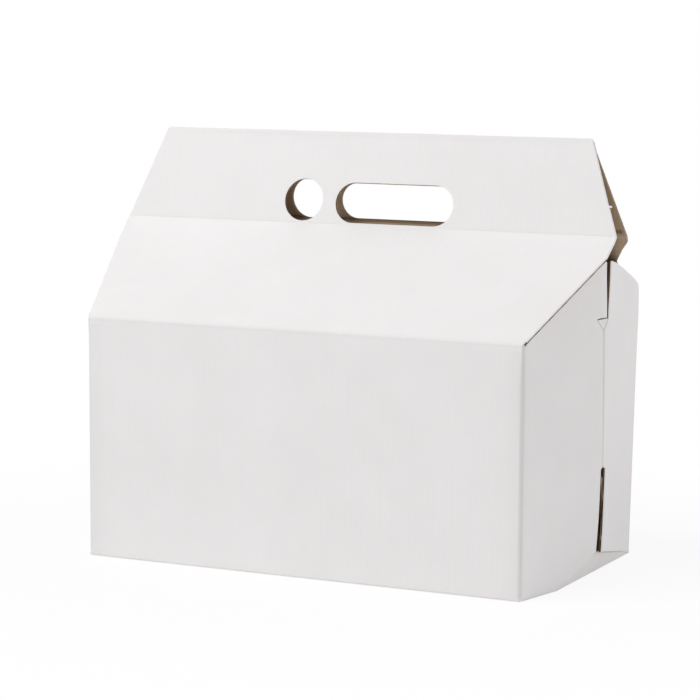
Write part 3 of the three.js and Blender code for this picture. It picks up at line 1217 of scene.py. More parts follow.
    def columns(self) -> np.ndarray:
        """Places round the box: close together round the corners and at the tab's edge.

        Returns:
            Rising values of the first parameter.
        """
        wall = np.linspace(0, 1, self.wall_columns)
        arc = np.linspace(0, self.arc_span, self.arc_columns + 1)[1:]
        even = np.linspace(0, 1, self.end_columns)
        share_of_columns, share_of_width = [0, 0.2, 0.6, 1], [0, 0.1, 0.65, 1]
        bend = np.interp(even, share_of_columns, share_of_width)
        just_past = 1e-4
        end = self.arc_span + np.concatenate([[just_past], bend[1:]])
        outward = np.concatenate([arc, end])
        return np.concatenate([-outward[::-1], wall, 1 + outward])

    def across(self, u: np.ndarray, v: np.ndarray, depth: np.ndarray) -> np.ndarray:
        """Distance round the box, square to the upright flutes."""
        points = self.surface(u, v, depth)
        return points[..., 0] - points[..., 1] * np.sign(points[..., 0]) * self.facing

    def score(self, u: np.ndarray, v: np.ndarray, depth: np.ndarray) -> np.ndarray:
        """Closeness to the upright corners and to the crease, each a bell across the line.

        Args:
            u: Place round the box.
            v: Share of the height.
            depth: Depth below the outside.

        Returns:
            The score.
        """
        y, z = np.moveaxis(self.surface(u, v, depth), -1, 0)[1:]
        past = np.where(u > 0.5, u - 1, -u)
        middle = self.arc_span / 2
        corner = self.corner_mark * np.exp(-(((past - middle) / middle) ** 2))
        at_height = (z > self.ends.crease_bottom) & (z < self.ends.slit_foot)
        away = (y - self.ends.line_y(z)) / self.crease_half
        bell = self.crease_mark * np.exp(-(away**2))
        crease = np.where(at_height & (past > self.arc_span), bell, 0)
        return np.maximum(corner, crease)

    def bar(
        self, name: str, side: Side, line: list[tuple[float, float]], deep: float
    ) -> bpy.types.Object:
        """A thin bar that follows the outside of an end between two places.

        Args:
            name: Name of the temporary object.
            side: Which end.
            line: The two places, as [y, z].
            deep: How deep it goes below the outside.

        Returns:
            The bar.
        """
        start, end = np.array(line)
        run = unit(end - start)
        square = np.array([-run[1], run[0]]) * self.bar_width / 2
        corners = np.array([start - square, start + square, end - square, end + square])
        y, z = corners.T
        outside = self.ends.end_x(y, z) - self.ends.relief(y, z) + self.carton.board.half
        depths = (outside + self.bar_proud, outside - deep)
        layers = [np.column_stack([side.value * x, corners]) for x in depths]
        faces = [(0, 1, 3, 2), (4, 6, 7, 5), (0, 4, 5, 1), (2, 3, 7, 6), (0, 2, 6, 4), (1, 5, 7, 3)]
        points = np.concatenate(layers)
        flute = np.full((len(points), 2), 0.5)
        mesh = new_mesh(f"{name}_{side.word}", points, faces, flute, np.zeros(len(points)))
        recalculate(mesh)
        return link_object(mesh.name, mesh)

    def relief_tools(self) -> tuple[list[bpy.types.Object], list[bpy.types.Object]]:
        """Bars for the pressed-in triangles: one cuts each free, and one scores its fold.

        Returns:
            The cutting bars and the scoring bars.
        """
        ends = self.ends
        head = float(ends.line_y(np.array(ends.slit_foot)))
        foot = (float(ends.line_y(np.array(ends.crease_top))), ends.crease_top)
        left = (ends.relief_left, ends.slit_foot - self.cut_drop)
        right = (head + self.cut_overrun, ends.slit_foot + self.cut_lift)
        cuts = [self.bar("relief_cut", side, [left, right], self.cut_deep) for side in Side]
        scores = [self.bar("relief_score", side, [left, foot], self.score_deep) for side in Side]
        return cuts, scores

    def build(self, finishes: "BoardFinishes") -> bpy.types.Object:
        """Makes the sheet and puts it on the box.

        Args:
            finishes: The board's materials.

        Returns:
            The finished piece.
        """
        name = "front_wall_and_ends" if self.front else "back_wall_and_tabs"
        v = np.linspace(0, 1, self.rows)
        piece = board_piece(
            name, self.surface, self.columns(), v, self.carton.board, self.across, self.score
        )
        finishes.dress(piece)
        if self.front:
            cuts, scores = self.relief_tools()
            cut_away(piece, cuts, finishes.cut_edge)
            cut_away(piece, scores, finishes.outside)
        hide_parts("box_body")
        return place(piece, "box")


@dataclass
class HingeStrip:
    """The fold between the front wall and the lid."""

    carton: Carton
    end_lip: float = 0.4 * MM
    end_insets: tuple[float, ...] = (1 * MM, 1 * MM, 0.2 * MM, 0)
    inset_shares: tuple[float, ...] = (0, 0.35, 0.6, 1)
    row_spacing: float = 1.5 * MM
    columns: int = 61
    fold_steps: int = 10
    # Strength of the score mask on the fold: painted shade on the white and a painted highlight on
    # the brown.
    fold_mark: float = 0.6

    @property
    def path(self) -> FoldedPath:
        """The fold's line in the side view.

        Returns:
            A short run of wall, the fold and a short run of roof.
        """
        carton = self.carton
        foot, along = carton.foot, carton.roof_along
        reach = GableLid(carton).hinge_reach
        low_z = foot[1] - reach
        corners = np.array(
            [
                [-float(carton.wall_y(np.array(low_z))), low_z],
                [-foot[0], foot[1]],
                [-foot[0] - along[0] * reach, foot[1] + along[1] * reach],
            ]
        )
        rolls = np.array([carton.board.fold_roll])
        return FoldedPath(corners, rolls, steps=self.fold_steps)

    def surface(self, u: np.ndarray, v: np.ndarray, depth: np.ndarray) -> np.ndarray:
        """Point of the strip.

        Args:
            u: Share of the way along the fold.
            v: Distance up over the fold.
            depth: Depth below the outside.

        Returns:
            The points.
        """
        path = self.path
        middle, normal = path.place(v)
        section = middle + normal * (self.carton.board.half - depth)[..., None]
        halves = self.carton.length / 2 - np.array(self.end_insets)
        half = np.interp(v / path.marks[-1], self.inset_shares, halves)
        return np.concatenate([(half * (2 * u - 1))[..., None], section], axis=-1)

    def build(self, finishes: "BoardFinishes") -> bpy.types.Object:
        """Makes the strip between the box and the lid.

        Args:
            finishes: The board's materials.

        Returns:
            The finished piece.
        """
        path = self.path
        board = replace(self.carton.board, outer_lip=self.end_lip)
        v = path.samples(self.row_spacing)
        v[0] -= self.end_lip
        v[-1] += self.end_lip
        strip = board_piece(
            "hinge_fold",
            self.surface,
            np.linspace(0, 1, self.columns),
            v,
            board,
            lambda u, v, depth: self.surface(u, v, depth)[..., 0],
            lambda u, v, depth: self.fold_mark * path.fold_score(v),
        )
        finishes.dress(strip)
        start, end = path.corners[0], path.corners[-1]
        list(start)
        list(end)
        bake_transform(strip)
        LOG.info("%s bends between box and lid", strip.name)
        return strip


def bead(
    points: np.ndarray, radius: float, sides: int = 12
) -> tuple[np.ndarray, np.ndarray, list[np.ndarray]]:
    """A round bar along a line, as one grid whose end rows shrink almost to a point.

    Args:
        points: The line's points.
        radius: The bar's radius.
        sides: Count of points round it.

    Returns:
        Vertices, quads, and the two tiny faces that close the ends.
    """
    along = unit(np.gradient(points, axis=0))
    no_fold_runs_here = np.array([0.123, 0.456, 0.881])
    first = unit(np.cross(along, no_fold_runs_here))
    second = np.cross(along, first)
    rows, firsts, seconds = (
        np.concatenate([part[:1], part, part[-1:]])[:, None] for part in (points, first, second)
    )
    closed = 1e-4
    swell = np.concatenate([[closed], np.full(len(points), 1.0), [closed]]) * radius
    turn = np.linspace(0, 2 * math.pi, sides, endpoint=False)[None, :, None]
    wave = np.cos(turn) * firsts + np.sin(turn) * seconds
    vertices = rows + wave * swell[:, None, None]
    index = np.arange(len(rows) * sides).reshape(len(rows), sides)
    near, far = index[:-1], index[1:]
    quads = np.stack([near, np.roll(near, -1, 1), np.roll(far, -1, 1), far], axis=-1)
    return vertices.reshape(-1, 3), quads.reshape(-1, 4), [index[0][::-1], index[-1]]


@dataclass
class BasePanel:
    """The base, the folds round it and the web corners that lift the ends off it."""

    carton: Carton
    ends: EndShape
    web_peak: float = 0.36
    web_margin: float = 0.012
    glue_top: float = 54 * MM
    glue_reach: float = 68 * MM
    glue_start: float = 6 * MM
    glue_foot: float = 2.4 * MM
    glue_gap: float = 0.05 * MM
    # Strength of the score mask on the fold beads: painted shade on the white and a painted highlight
    # on the brown.
    fold_mark: float = 0.6
    fold_sharp: float = 70
    base_grid: tuple[int, int] = (41, 31)
    web_grid: tuple[int, int] = (41, 8)
    glue_grid: tuple[int, int] = (31, 16)

    @property
    def apex_x(self) -> float:
        """Middle of the base's end edge where it reaches the web's apex."""
        ends = self.ends
        return float(ends.end_x(np.array(-ends.web_apex_y), np.array(self.carton.board.half)))

    def edge_x(self, y: np.ndarray) -> np.ndarray:
        """Middle of the base's end edge, which bows out to the web's apex."""
        carton = self.carton
        places = [-carton.corner_y, -self.ends.web_apex_y, carton.corner_y]
        return np.interp(y, places, [carton.corner_x, self.apex_x, carton.corner_x])

    def surface(self, u: np.ndarray, v: np.ndarray, depth: np.ndarray) -> np.ndarray:
        """Point of the base: flat, with v from front to back and u between its end edges."""
        y = self.carton.corner_y * (2 * v - 1)
        return np.stack([self.edge_x(y) * (2 * u - 1), y, depth], axis=-1)

    def web_corners(self) -> tuple[np.ndarray, np.ndarray, np.ndarray]:
        """The three corners of the right end's web.

        Returns:
            Its apex on the base, its top beside the slit and its end at the back corner.
        """
        carton, ends = self.carton, self.ends
        apex = np.array([self.apex_x, -ends.web_apex_y, carton.board.half])
        top_y = float(ends.front_edge_y(np.array(ends.web_rise)))
        back = np.array([carton.corner_x, carton.corner_y, carton.board.half])
        return apex, ends.foot_point(top_y, ends.web_rise), back

    def web_surface(self, side: Side) -> Surface:
        """Surface of a web: straight lines from the base's edge up to its fold with the end.

        Args:
            side: Which end.

        Returns:
            The surface.
        """
        apex, top, back = self.web_corners()
        normal = unit(np.cross(back - apex, top - apex))
        half, peak = self.carton.board.half, self.web_peak

        def point(u: np.ndarray, v: np.ndarray, depth: np.ndarray) -> np.ndarray:
            """Point of the web.

            Args:
                u: Share of the way along its foot.
                v: Share of its height.
                depth: Depth below the outside.

            Returns:
                The points.
            """
            share = u[..., None]
            foot = apex + (back - apex) * share
            crest = np.where(
                share < peak,
                apex + (top - apex) * (share / peak),
                top + (back - top) * ((share - peak) / (1 - peak)),
            )
            middle = foot + (crest - foot) * v[..., None]
            return (middle + normal * (half - depth)[..., None]) * np.array([side.value, 1, 1])

        return point

    def glue_surface(self, side: Side) -> Surface:
        """Surface of the panel that is glued behind the back half, set in by one board.

        Args:
            side: Which end.

        Returns:
            The surface.
        """
        carton, ends, board = self.carton, self.ends, self.carton.board

        def point(u: np.ndarray, v: np.ndarray, depth: np.ndarray) -> np.ndarray:
            """Point of the panel.

            Args:
                u: Share of the way from the slit to the back.
                v: Share of its height.
                depth: Depth below the outside.

            Returns:
                The points.
            """
            y = self.glue_start + (self.glue_reach - self.glue_start) * u
            low = np.interp(y, [0, carton.corner_y], [ends.web_rise, self.glue_foot])
            far_top = self.glue_top - ends.web_rise
            high = np.interp(y, [0, self.glue_reach], [self.glue_top, far_top])
            z = low + (high - low) * v
            x = ends.end_x(y, z) + ends.back_stand(y, z) - board.half - self.glue_gap - depth
            return np.stack([side.value * x, y, z], axis=-1)

        return point

    def fold_lines(self) -> list[np.ndarray]:
        """The lines of the folds at the foot of the box.

        Returns:
            The long folds of the base in front and behind, then the folds of each end: those of
            the base's edge, the foot of the front half and the web's fold with the back half.
        """
        carton, ends = self.carton, self.ends
        apex, top, back = self.web_corners()
        front = np.array([carton.corner_x, -carton.corner_y, carton.board.half])
        high, low = (ends.foot_point(-y, z) for y, z in ends.foot_bends)
        mirror = np.array([-1.0, 1.0, 1.0])
        one_side = [[front, apex], [apex, back], [apex, low, high, top], [top, back]]
        lines = [np.array([front * mirror, front]), np.array([back * mirror, back])]
        lines += [np.array(line) for line in one_side]
        return lines + [np.array(line) * mirror for line in one_side]

    def beads(self, finishes: "BoardFinishes") -> bpy.types.Object:
        """The round outsides of the folds at the foot of the box, brown where they face in.

        Args:
            finishes: The board's materials.

        Returns:
            The finished piece.
        """
        vertices, quads, caps, start = [], [], [], 0
        for line in self.fold_lines():
            points, faces, ends = bead(line, self.carton.board.half)
            vertices.append(points)
            quads += (faces + start).tolist()
            caps += [(end + start).tolist() for end in ends]
            start += len(points)
        every = np.concatenate(vertices)
        flute = np.stack([every[:, 0] - every[:, 1], np.zeros(len(every))], axis=-1)
        score = np.full(len(every), self.fold_mark)
        mesh = new_mesh("base_folds", every, quads + caps, flute, score)
        recalculate(mesh)
        set_smooth(mesh, self.fold_sharp)
        centres = np.zeros((len(mesh.polygons), 3), np.float32)
        normals = np.zeros((len(mesh.polygons), 3), np.float32)
        mesh.polygons.foreach_get("center", centres.ravel())
        mesh.polygons.foreach_get("normal", normals.ravel())
        from_inside = centres - np.array([0, 0, self.carton.wall_height / 2])
        inward = (normals * from_inside).sum(axis=1) < 0
        faces = np.where(inward, BoardFace.INSIDE.value, BoardFace.OUTSIDE.value)
        mesh.polygons.foreach_set("material_index", faces.astype(np.int32))
        piece = link_object("base_folds", mesh)
        finishes.dress(piece)
        return place(piece, "box")

    def panel(
        self, name: str, surface: Surface, u: np.ndarray, v: np.ndarray, axis: int,
        finishes: "BoardFinishes",
    ) -> bpy.types.Object:
        """Makes one flat panel of the box.

        Args:
            name: The piece's name.
            surface: Its surface.
            u: Values of the first parameter.
            v: Values of the second parameter.
            axis: Axis square to the flutes: 0 for X and 1 for Y.
            finishes: The board's materials.

        Returns:
            The finished piece.
        """
        piece = board_piece(
            name, surface, u, v, self.carton.board, lambda *at: surface(*at)[..., axis], no_score
        )
        finishes.dress(piece)
        return place(piece, "box")

    def build(self, finishes: "BoardFinishes") -> None:
        """Makes the base, its folds, both webs and both glued panels.

        Args:
            finishes: The board's materials.
        """
        base_u, base_v = (np.linspace(0, 1, count) for count in self.base_grid)
        glue_u, glue_v = (np.linspace(0, 1, count) for count in self.glue_grid)
        web_u = np.linspace(self.web_margin, 1 - self.web_margin, self.web_grid[0])
        web_v = np.linspace(0, 1, self.web_grid[1])
        self.panel("base_panel", self.surface, base_u, base_v, 0, finishes)
        self.beads(finishes)
        for side in Side:
            web, glue = self.web_surface(side), self.glue_surface(side)
            self.panel(f"web_corner_{side.word}", web, web_u, web_v, 1, finishes)
            self.panel(f"glued_panel_{side.word}", glue, glue_u, glue_v, 1, finishes)


class NodeSheet:
    """A small helper that adds and joins shader nodes in one tree."""

    def __init__(self, tree: bpy.types.NodeTree) -> None:
        """Keeps the tree that nodes are added to."""
        self.tree = tree

    def add(self, kind: str, **settings: object) -> bpy.types.Node:
        """Adds a node and sets its properties."""
        node = self.tree.nodes.new(kind)
        for key, value in settings.items():
            setattr(node, key, value)
        return node

    def join(self, source: bpy.types.NodeSocket, target: bpy.types.NodeSocket) -> None:
        """Joins two sockets."""
        self.tree.links.new(source, target)

    def feed(self, target: bpy.types.NodeSocket, value: object) -> None:
        """Joins a socket to an input, or writes a number or a colour there.

        Args:
            target: The input.
            value: A socket, a number, or a colour of three or four numbers.
        """
        if isinstance(value, bpy.types.NodeSocket):
            self.join(value, target)
        elif isinstance(value, tuple) and len(value) == 3:
            target.default_value = (*value, 1.0)
        else:
            target.default_value = value

    def maths(self, operation: str, *values: object) -> bpy.types.NodeSocket:
        """A Math node whose inputs are numbers or sockets.

        Args:
            operation: Blender's name of the operation.
            values: Up to three numbers or sockets.

        Returns:
            The node's output.
        """
        node = self.add("ShaderNodeMath", operation=operation)
        for index, value in enumerate(values):
            self.feed(node.inputs[index], value)
        return node.outputs[0]

    def ramp(
        self, value: bpy.types.NodeSocket, low: float, high: float, out: tuple[float, float]
    ) -> bpy.types.NodeSocket:
        """A Map Range node that eases from one value to another.

        Args:
            value: The input.
            low: Input where the output starts.
            high: Input where the output ends.
            out: The output's two ends.

        Returns:
            The node's output.
        """
        node = self.add("ShaderNodeMapRange", interpolation_type="SMOOTHSTEP")
        self.join(value, node.inputs["Value"])
        names = ("From Min", "From Max", "To Min", "To Max")
        for name, number in zip(names, (low, high, *out)):
            node.inputs[name].default_value = number
        return node.outputs["Result"]

    def noise(self, inputs: dict[str, object], **settings: object) -> bpy.types.NodeSocket:
        """A Noise Texture's value, from inputs by name that are numbers or sockets."""
        node = self.add("ShaderNodeTexNoise", **settings)
        for name, value in inputs.items():
            self.feed(node.inputs[name], value)
        return node.outputs["Fac"]

    def mix(self, share: bpy.types.NodeSocket, first: object, second: object) -> bpy.types.NodeSocket:
        """A colour mix whose colours are tuples or sockets.

        Args:
            share: How much of the second colour, held between 0 and 1.
            first: The first colour.
            second: The second colour.

        Returns:
            The mixed colour.
        """
        node = self.add("ShaderNodeMix", data_type="RGBA", blend_type="MIX")
        for index, value in ((0, share), (6, first), (7, second)):
            self.feed(node.inputs[index], value)
        return node.outputs[2]

    def tint(
        self, mask: bpy.types.NodeSocket, strength: float, tone: object, colour: object
    ) -> bpy.types.NodeSocket:
        """A tone that turns towards a colour where a mask is high.

        Args:
            mask: Where it turns.
            strength: Share of the colour where the mask is 1.
            tone: The tone so far.
            colour: The colour.

        Returns:
            The new tone.
        """
        return self.mix(self.maths("MULTIPLY", mask, strength), tone, colour)

    def mix_shaders(
        self, share: bpy.types.NodeSocket, nodes: tuple[bpy.types.Node, bpy.types.Node], output: str
    ) -> None:
        """Mixes two shaders and joins them to an output.

        Args:
            share: How much of the second shader.
            nodes: The two shaders' nodes.
            output: Blender's name of the output node.
        """
        mix = self.add("ShaderNodeMixShader")
        self.join(share, mix.inputs["Fac"])
        for index, node in enumerate(nodes, 1):
            self.join(node.outputs[0], mix.inputs[index])
        self.join(mix.outputs[0], self.add(output).inputs["Surface"])


def clear_sheet(owner: bpy.types.ID) -> NodeSheet:
    """Empties the node tree of a new material or world and returns a sheet on it."""
    owner.use_nodes = True
    owner.node_tree.nodes.clear()
    return NodeSheet(owner.node_tree)


def open_group(
    name: str, inputs: dict[str, str], outputs: list[str]
) -> tuple[bpy.types.NodeTree, NodeSheet, bpy.types.Node, bpy.types.Node]:
    """Starts a shader node group with named sockets.

    Args:
        name: The group's name.
        inputs: Kind of each input socket by name.
        outputs: Names of the output values.

    Returns:
        The group, a sheet to add nodes with, and its input and output nodes.
    """
    group = bpy.data.node_groups.new(name, "ShaderNodeTree")
    for label, kind in inputs.items():
        group.interface.new_socket(name=label, in_out="INPUT", socket_type=kind)
    for label in outputs:
        group.interface.new_socket(name=label, in_out="OUTPUT", socket_type="NodeSocketFloat")
    sheet = NodeSheet(group)
    return group, sheet, sheet.add("NodeGroupInput"), sheet.add("NodeGroupOutput")


def paper_fibre_group() -> bpy.types.NodeTree:
    """Paper's own unevenness: broad cloudy mottling, fine short fibres and sparse flecks.

    Returns:
        A group that turns a position and a grain size into Mottle, Grain and Fleck, each from
        0 to 1.
    """
    inputs = {"Position": "NodeSocketVector", "Grain per metre": "NodeSocketFloat"}
    group, sheet, source, sink = open_group("paper_fibre", inputs, ["Mottle", "Grain", "Fleck"])
    spot = source.outputs["Position"]
    cloud = {"Vector": spot, "Scale": 26.0, "Detail": 5.0, "Roughness": 0.62}
    grain = source.outputs["Grain per metre"]
    fibre = {"Vector": spot, "Scale": grain, "Detail": 3.0, "Roughness": 0.7, "Distortion": 0.6}
    dots = sheet.noise({"Vector": spot, "Scale": 420.0, "Detail": 1.0})
    sheet.join(sheet.noise(cloud), sink.inputs["Mottle"])
    sheet.join(sheet.noise(fibre), sink.inputs["Grain"])
    sheet.join(sheet.ramp(dots, 0.70, 0.78, (0, 1)), sink.inputs["Fleck"])
    return group


def washboard_group() -> bpy.types.NodeTree:
    """The flutes that telegraph through a liner: a sine of the distance across them.

    Returns:
        A group that turns the distance across the flutes into Wave, from 0 to 1, and Streak,
        which says how much each flute shows.
    """
    inputs = {
        "Across": "NodeSocketFloat",
        "Pitch": "NodeSocketFloat",
        "Position": "NodeSocketVector",
    }
    group, sheet, source, sink = open_group("flute_washboard", inputs, ["Wave", "Streak"])
    turns = sheet.maths("DIVIDE", source.outputs["Across"], source.outputs["Pitch"])
    angle = sheet.maths("MULTIPLY", turns, 2 * math.pi)
    wave = sheet.maths("MULTIPLY_ADD", sheet.maths("SINE", angle), 0.5, 0.5)
    sheet.join(wave, sink.inputs["Wave"])
    single = sheet.noise({"W": turns, "Scale": 0.9, "Detail": 2.0}, noise_dimensions="1D")
    along = sheet.noise({"Vector": source.outputs["Position"], "Scale": 14.0})
    streak = sheet.maths("MULTIPLY", single, along)
    sheet.join(sheet.ramp(streak, 0.12, 0.42, (0, 1)), sink.inputs["Streak"])
    return group


@dataclass
class FinishKit:
    """What the finishes share: the node groups and the way that each one reads the piece."""

    board: Board
    fibre: bpy.types.NodeTree
    washboard: bpy.types.NodeTree

    def start(self, name: str) -> tuple[bpy.types.Material, NodeSheet, bpy.types.Node]:
        """Makes a new material with its shader and output.

        Args:
            name: The material's name.

        Returns:
            The material, a sheet on its nodes, and its Principled BSDF.
        """
        material = bpy.data.materials.new(name)
        sheet = clear_sheet(material)
        shader = sheet.add("ShaderNodeBsdfPrincipled")
        sheet.join(shader.outputs["BSDF"], sheet.add("ShaderNodeOutputMaterial").inputs["Surface"])
        return material, sheet, shader

    def common(
        self, sheet: NodeSheet, grain: float
    ) -> tuple[bpy.types.Node, bpy.types.Node, bpy.types.NodeSocket, bpy.types.NodeSocket]:
        """Adds the shared groups and the piece's own coordinates.

        Args:
            sheet: The material's nodes.
            grain: Fibres per metre.

        Returns:
            The fibre group, the washboard group, the fold score and the share of the thickness.
        """
        spot = sheet.add("ShaderNodeTexCoord").outputs["Object"]
        flute = sheet.add("ShaderNodeUVMap", uv_map="flute")
        parts = sheet.add("ShaderNodeSeparateXYZ")
        sheet.join(flute.outputs["UV"], parts.inputs[0])
        score = sheet.add("ShaderNodeAttribute", attribute_name="score")
        fibre = sheet.add("ShaderNodeGroup", node_tree=self.fibre)
        fibre.inputs["Grain per metre"].default_value = grain
        sheet.join(spot, fibre.inputs["Position"])
        board = sheet.add("ShaderNodeGroup", node_tree=self.washboard)
        board.inputs["Pitch"].default_value = self.board.flute_pitch
        sheet.join(parts.outputs["X"], board.inputs["Across"])
        sheet.join(spot, board.inputs["Position"])
        return fibre, board, score.outputs["Fac"], parts.outputs["Y"]

    def coat(
        self,
        sheet: NodeSheet,
        shader: bpy.types.Node,
        tone: bpy.types.NodeSocket,
        grain: bpy.types.NodeSocket,
        rough: tuple[float, float],
        specular: float,
    ) -> None:
        """Gives the shader its colour, its roughness and its gloss.

        Args:
            sheet: The material's nodes.
            shader: The material's Principled BSDF.
            tone: The colour.
            grain: The fibres' value, which the roughness follows.
            rough: Roughness where the grain is low and where it is high.
            specular: The shader's specular level.
        """
        sheet.join(tone, shader.inputs["Base Color"])
        sheet.join(sheet.ramp(grain, 0.3, 0.7, rough), shader.inputs["Roughness"])
        shader.inputs["Specular IOR Level"].default_value = specular

    def bump(
        self,
        sheet: NodeSheet,
        shader: bpy.types.Node,
        height: bpy.types.NodeSocket,
        distance: float,
        strength: float,
    ) -> None:
        """Gives the shader a bump from a height.

        Args:
            sheet: The material's nodes.
            shader: The material's Principled BSDF.
            height: The height, from 0 to 1.
            distance: Depth of the bump in metres.
            strength: Share of the bump that shows.
        """
        bump = sheet.add("ShaderNodeBump")
        bump.inputs["Strength"].default_value = strength
        bump.inputs["Distance"].default_value = distance
        sheet.join(height, bump.inputs["Height"])
        sheet.join(bump.outputs["Normal"], shader.inputs["Normal"])


@dataclass(frozen=True)
class WhiteLiner:
    """The white coated outside: matt, softly mottled, with flutes that barely show."""

    colour: Colour = (0.897, 0.88, 0.878)
    # The second colour is the mottling's darker tone and also painted shade between the flutes.
    mottle_and_flute_shade: Colour = (0.858, 0.84, 0.836)
    # Painted shade: the grey drawn along the folds, the upright corners and the crease.
    painted_fold_shade: Colour = (0.68, 0.665, 0.655)
    rough: tuple[float, float] = (0.54, 0.68)
    specular: float = 0.28

    def material(self, kit: FinishKit) -> bpy.types.Material:
        """Builds the material: random darker clouds, and painted shade between the flutes and along
        the folds.

        Args:
            kit: The shared groups and board sizes.

        Returns:
            The finished material.
        """
        material, sheet, shader = kit.start("white_liner")
        fibre, board, score, _ = kit.common(sheet, grain=2600.0)
        grain, wave = fibre.outputs["Grain"], board.outputs["Wave"]
        cloudy = sheet.ramp(fibre.outputs["Mottle"], 0.3, 0.72, (0.0, 0.55))
        tone = sheet.mix(cloudy, self.colour, self.mottle_and_flute_shade)
        # Painted shade: the hollows between the flutes, where they show, turn towards the darker
        # colour.
        dip = sheet.maths("SUBTRACT", 1.0, wave)
        show = sheet.maths("MULTIPLY", dip, board.outputs["Streak"])
        tone = sheet.tint(show, 0.32, tone, self.mottle_and_flute_shade)
        # Painted shade along the folds, the corners and the crease, as strong as the score mask.
        tone = sheet.tint(score, 0.3, tone, self.painted_fold_shade)
        kit.coat(sheet, shader, tone, grain, self.rough, self.specular)
        height = sheet.maths("MULTIPLY_ADD", grain, 0.16, wave)
        kit.bump(sheet, shader, height, distance=0.035 * MM, strength=0.35)
        return material


@dataclass(frozen=True)
class KraftLiner:
    """The brown inside: long fibres, darker flecks and glue lines along the flutes."""

    colour: Colour = (0.56, 0.42, 0.285)
    # The light colour is the mottling's paler tone and also a painted highlight on the folds.
    light: Colour = (0.68, 0.54, 0.39)
    # The dark colour is the fibres, glue lines and flecks, and also painted shade in the pressed
    # grooves.
    dark: Colour = (0.34, 0.235, 0.15)
    rough: tuple[float, float] = (0.77, 0.92)
    specular: float = 0.2

    def material(self, kit: FinishKit) -> bpy.types.Material:
        """Builds the material: a painted highlight on the folds and painted shade in the pressed
        grooves.

        Args:
            kit: The shared groups and board sizes.

        Returns:
            The finished material.
        """
        material, sheet, shader = kit.start("kraft_liner")
        fibre, board, score, _ = kit.common(sheet, grain=1500.0)
        grain, wave = fibre.outputs["Grain"], board.outputs["Wave"]
        cloudy = sheet.ramp(fibre.outputs["Mottle"], 0.25, 0.75, (0.0, 0.6))
        tone = sheet.mix(cloudy, self.colour, self.light)
        threads = sheet.ramp(grain, 0.35, 0.66, (0.0, 0.3))
        tone = sheet.mix(threads, tone, self.dark)
        glue = sheet.maths("MULTIPLY", wave, board.outputs["Streak"])
        tone = sheet.tint(glue, 0.16, tone, self.dark)
        tone = sheet.tint(fibre.outputs["Fleck"], 0.5, tone, self.dark)
        # Painted highlight on the folds, where the score is above zero.
        tone = sheet.tint(score, 0.5, tone, self.light)
        # Painted shade in the pressed grooves, where the score is below zero.
        tone = sheet.tint(score, -0.75, tone, self.dark)
        kit.coat(sheet, shader, tone, grain, self.rough, self.specular)
        height = sheet.maths("MULTIPLY_ADD", grain, 0.5, wave)
        kit.bump(sheet, shader, height, distance=0.08 * MM, strength=0.5)
        return material


@dataclass(frozen=True)
class CutEdge:
    """A cut edge: the white liner, the waved middle with painted shade in the flute hollows, and the
    brown liner.
    """

    white: Colour = (0.92, 0.91, 0.9)
    paper: Colour = (0.55, 0.36, 0.22)
    # Painted shade: the near-black of the open flute cavities between the waves.
    painted_cavity_shade: Colour = (0.07, 0.042, 0.024)
    rough: tuple[float, float] = (0.82, 0.95)
    specular: float = 0.15

    def material(self, kit: FinishKit) -> bpy.types.Material:
        """Builds the material.

        The waved middle is where the share of the thickness is close to a sine of the distance
        across the flutes.

        Args:
            kit: The shared groups and board sizes.

        Returns:
            The finished material.
        """
        material, sheet, shader = kit.start("cut_edge")
        fibre, board, _, depth = kit.common(sheet, grain=3000.0)
        grain = fibre.outputs["Grain"]
        centre = sheet.maths("MULTIPLY_ADD", board.outputs["Wave"], 0.52, 0.24)
        away = sheet.maths("ABSOLUTE", sheet.maths("SUBTRACT", depth, centre))
        ragged = sheet.maths("MULTIPLY_ADD", grain, 0.1, -0.05)
        at_depth = sheet.maths("ADD", depth, ragged)
        on_wave = sheet.ramp(sheet.maths("ADD", away, ragged), 0.06, 0.16, (1.0, 0.0))
        on_brown = sheet.ramp(at_depth, 0.8, 0.86, (0.0, 1.0))
        on_white = sheet.ramp(at_depth, 0.16, 0.22, (1.0, 0.0))
        solid = sheet.maths("MAXIMUM", on_wave, on_brown)
        # Painted shade fills the flute cavities wherever the waved middle and the brown liner are
        # absent.
        tone = sheet.mix(solid, self.painted_cavity_shade, self.paper)
        tone = sheet.mix(on_white, tone, self.white)
        kit.coat(sheet, shader, tone, grain, self.rough, self.specular)
        height = sheet.maths("MAXIMUM", solid, on_white)
        kit.bump(sheet, shader, height, distance=0.3 * MM, strength=0.8)
        return material


@dataclass
class BoardFinishes:
    """The three materials of the board, in the order of its faces."""

    outside: bpy.types.Material
    inside: bpy.types.Material
    cut_edge: bpy.types.Material

    @classmethod
    def make(cls, board: Board) -> "BoardFinishes":
        """Builds the shared groups and the three materials."""
        kit = FinishKit(board, paper_fibre_group(), washboard_group())
        return cls(*(finish.material(kit) for finish in (WhiteLiner(), KraftLiner(), CutEdge())))

    def dress(self, piece: bpy.types.Object) -> None:
        """Gives a piece its material slots."""
        for material in (self.outside, self.inside, self.cut_edge):
            piece.data.materials.append(material)


def stand(thing: bpy.types.Object, axes: list[np.ndarray], spot: np.ndarray) -> None:
    """Puts an object at a spot.

    Args:
        thing: The lamp or camera.
        axes: Directions of its X, Y and Z.
        spot: Its place.
    """
    turned = np.eye(4)
    turned[:3, :3] = np.stack(axes, axis=-1)
    turned[:3, 3] = spot
    thing.matrix_world = Matrix(turned.tolist())


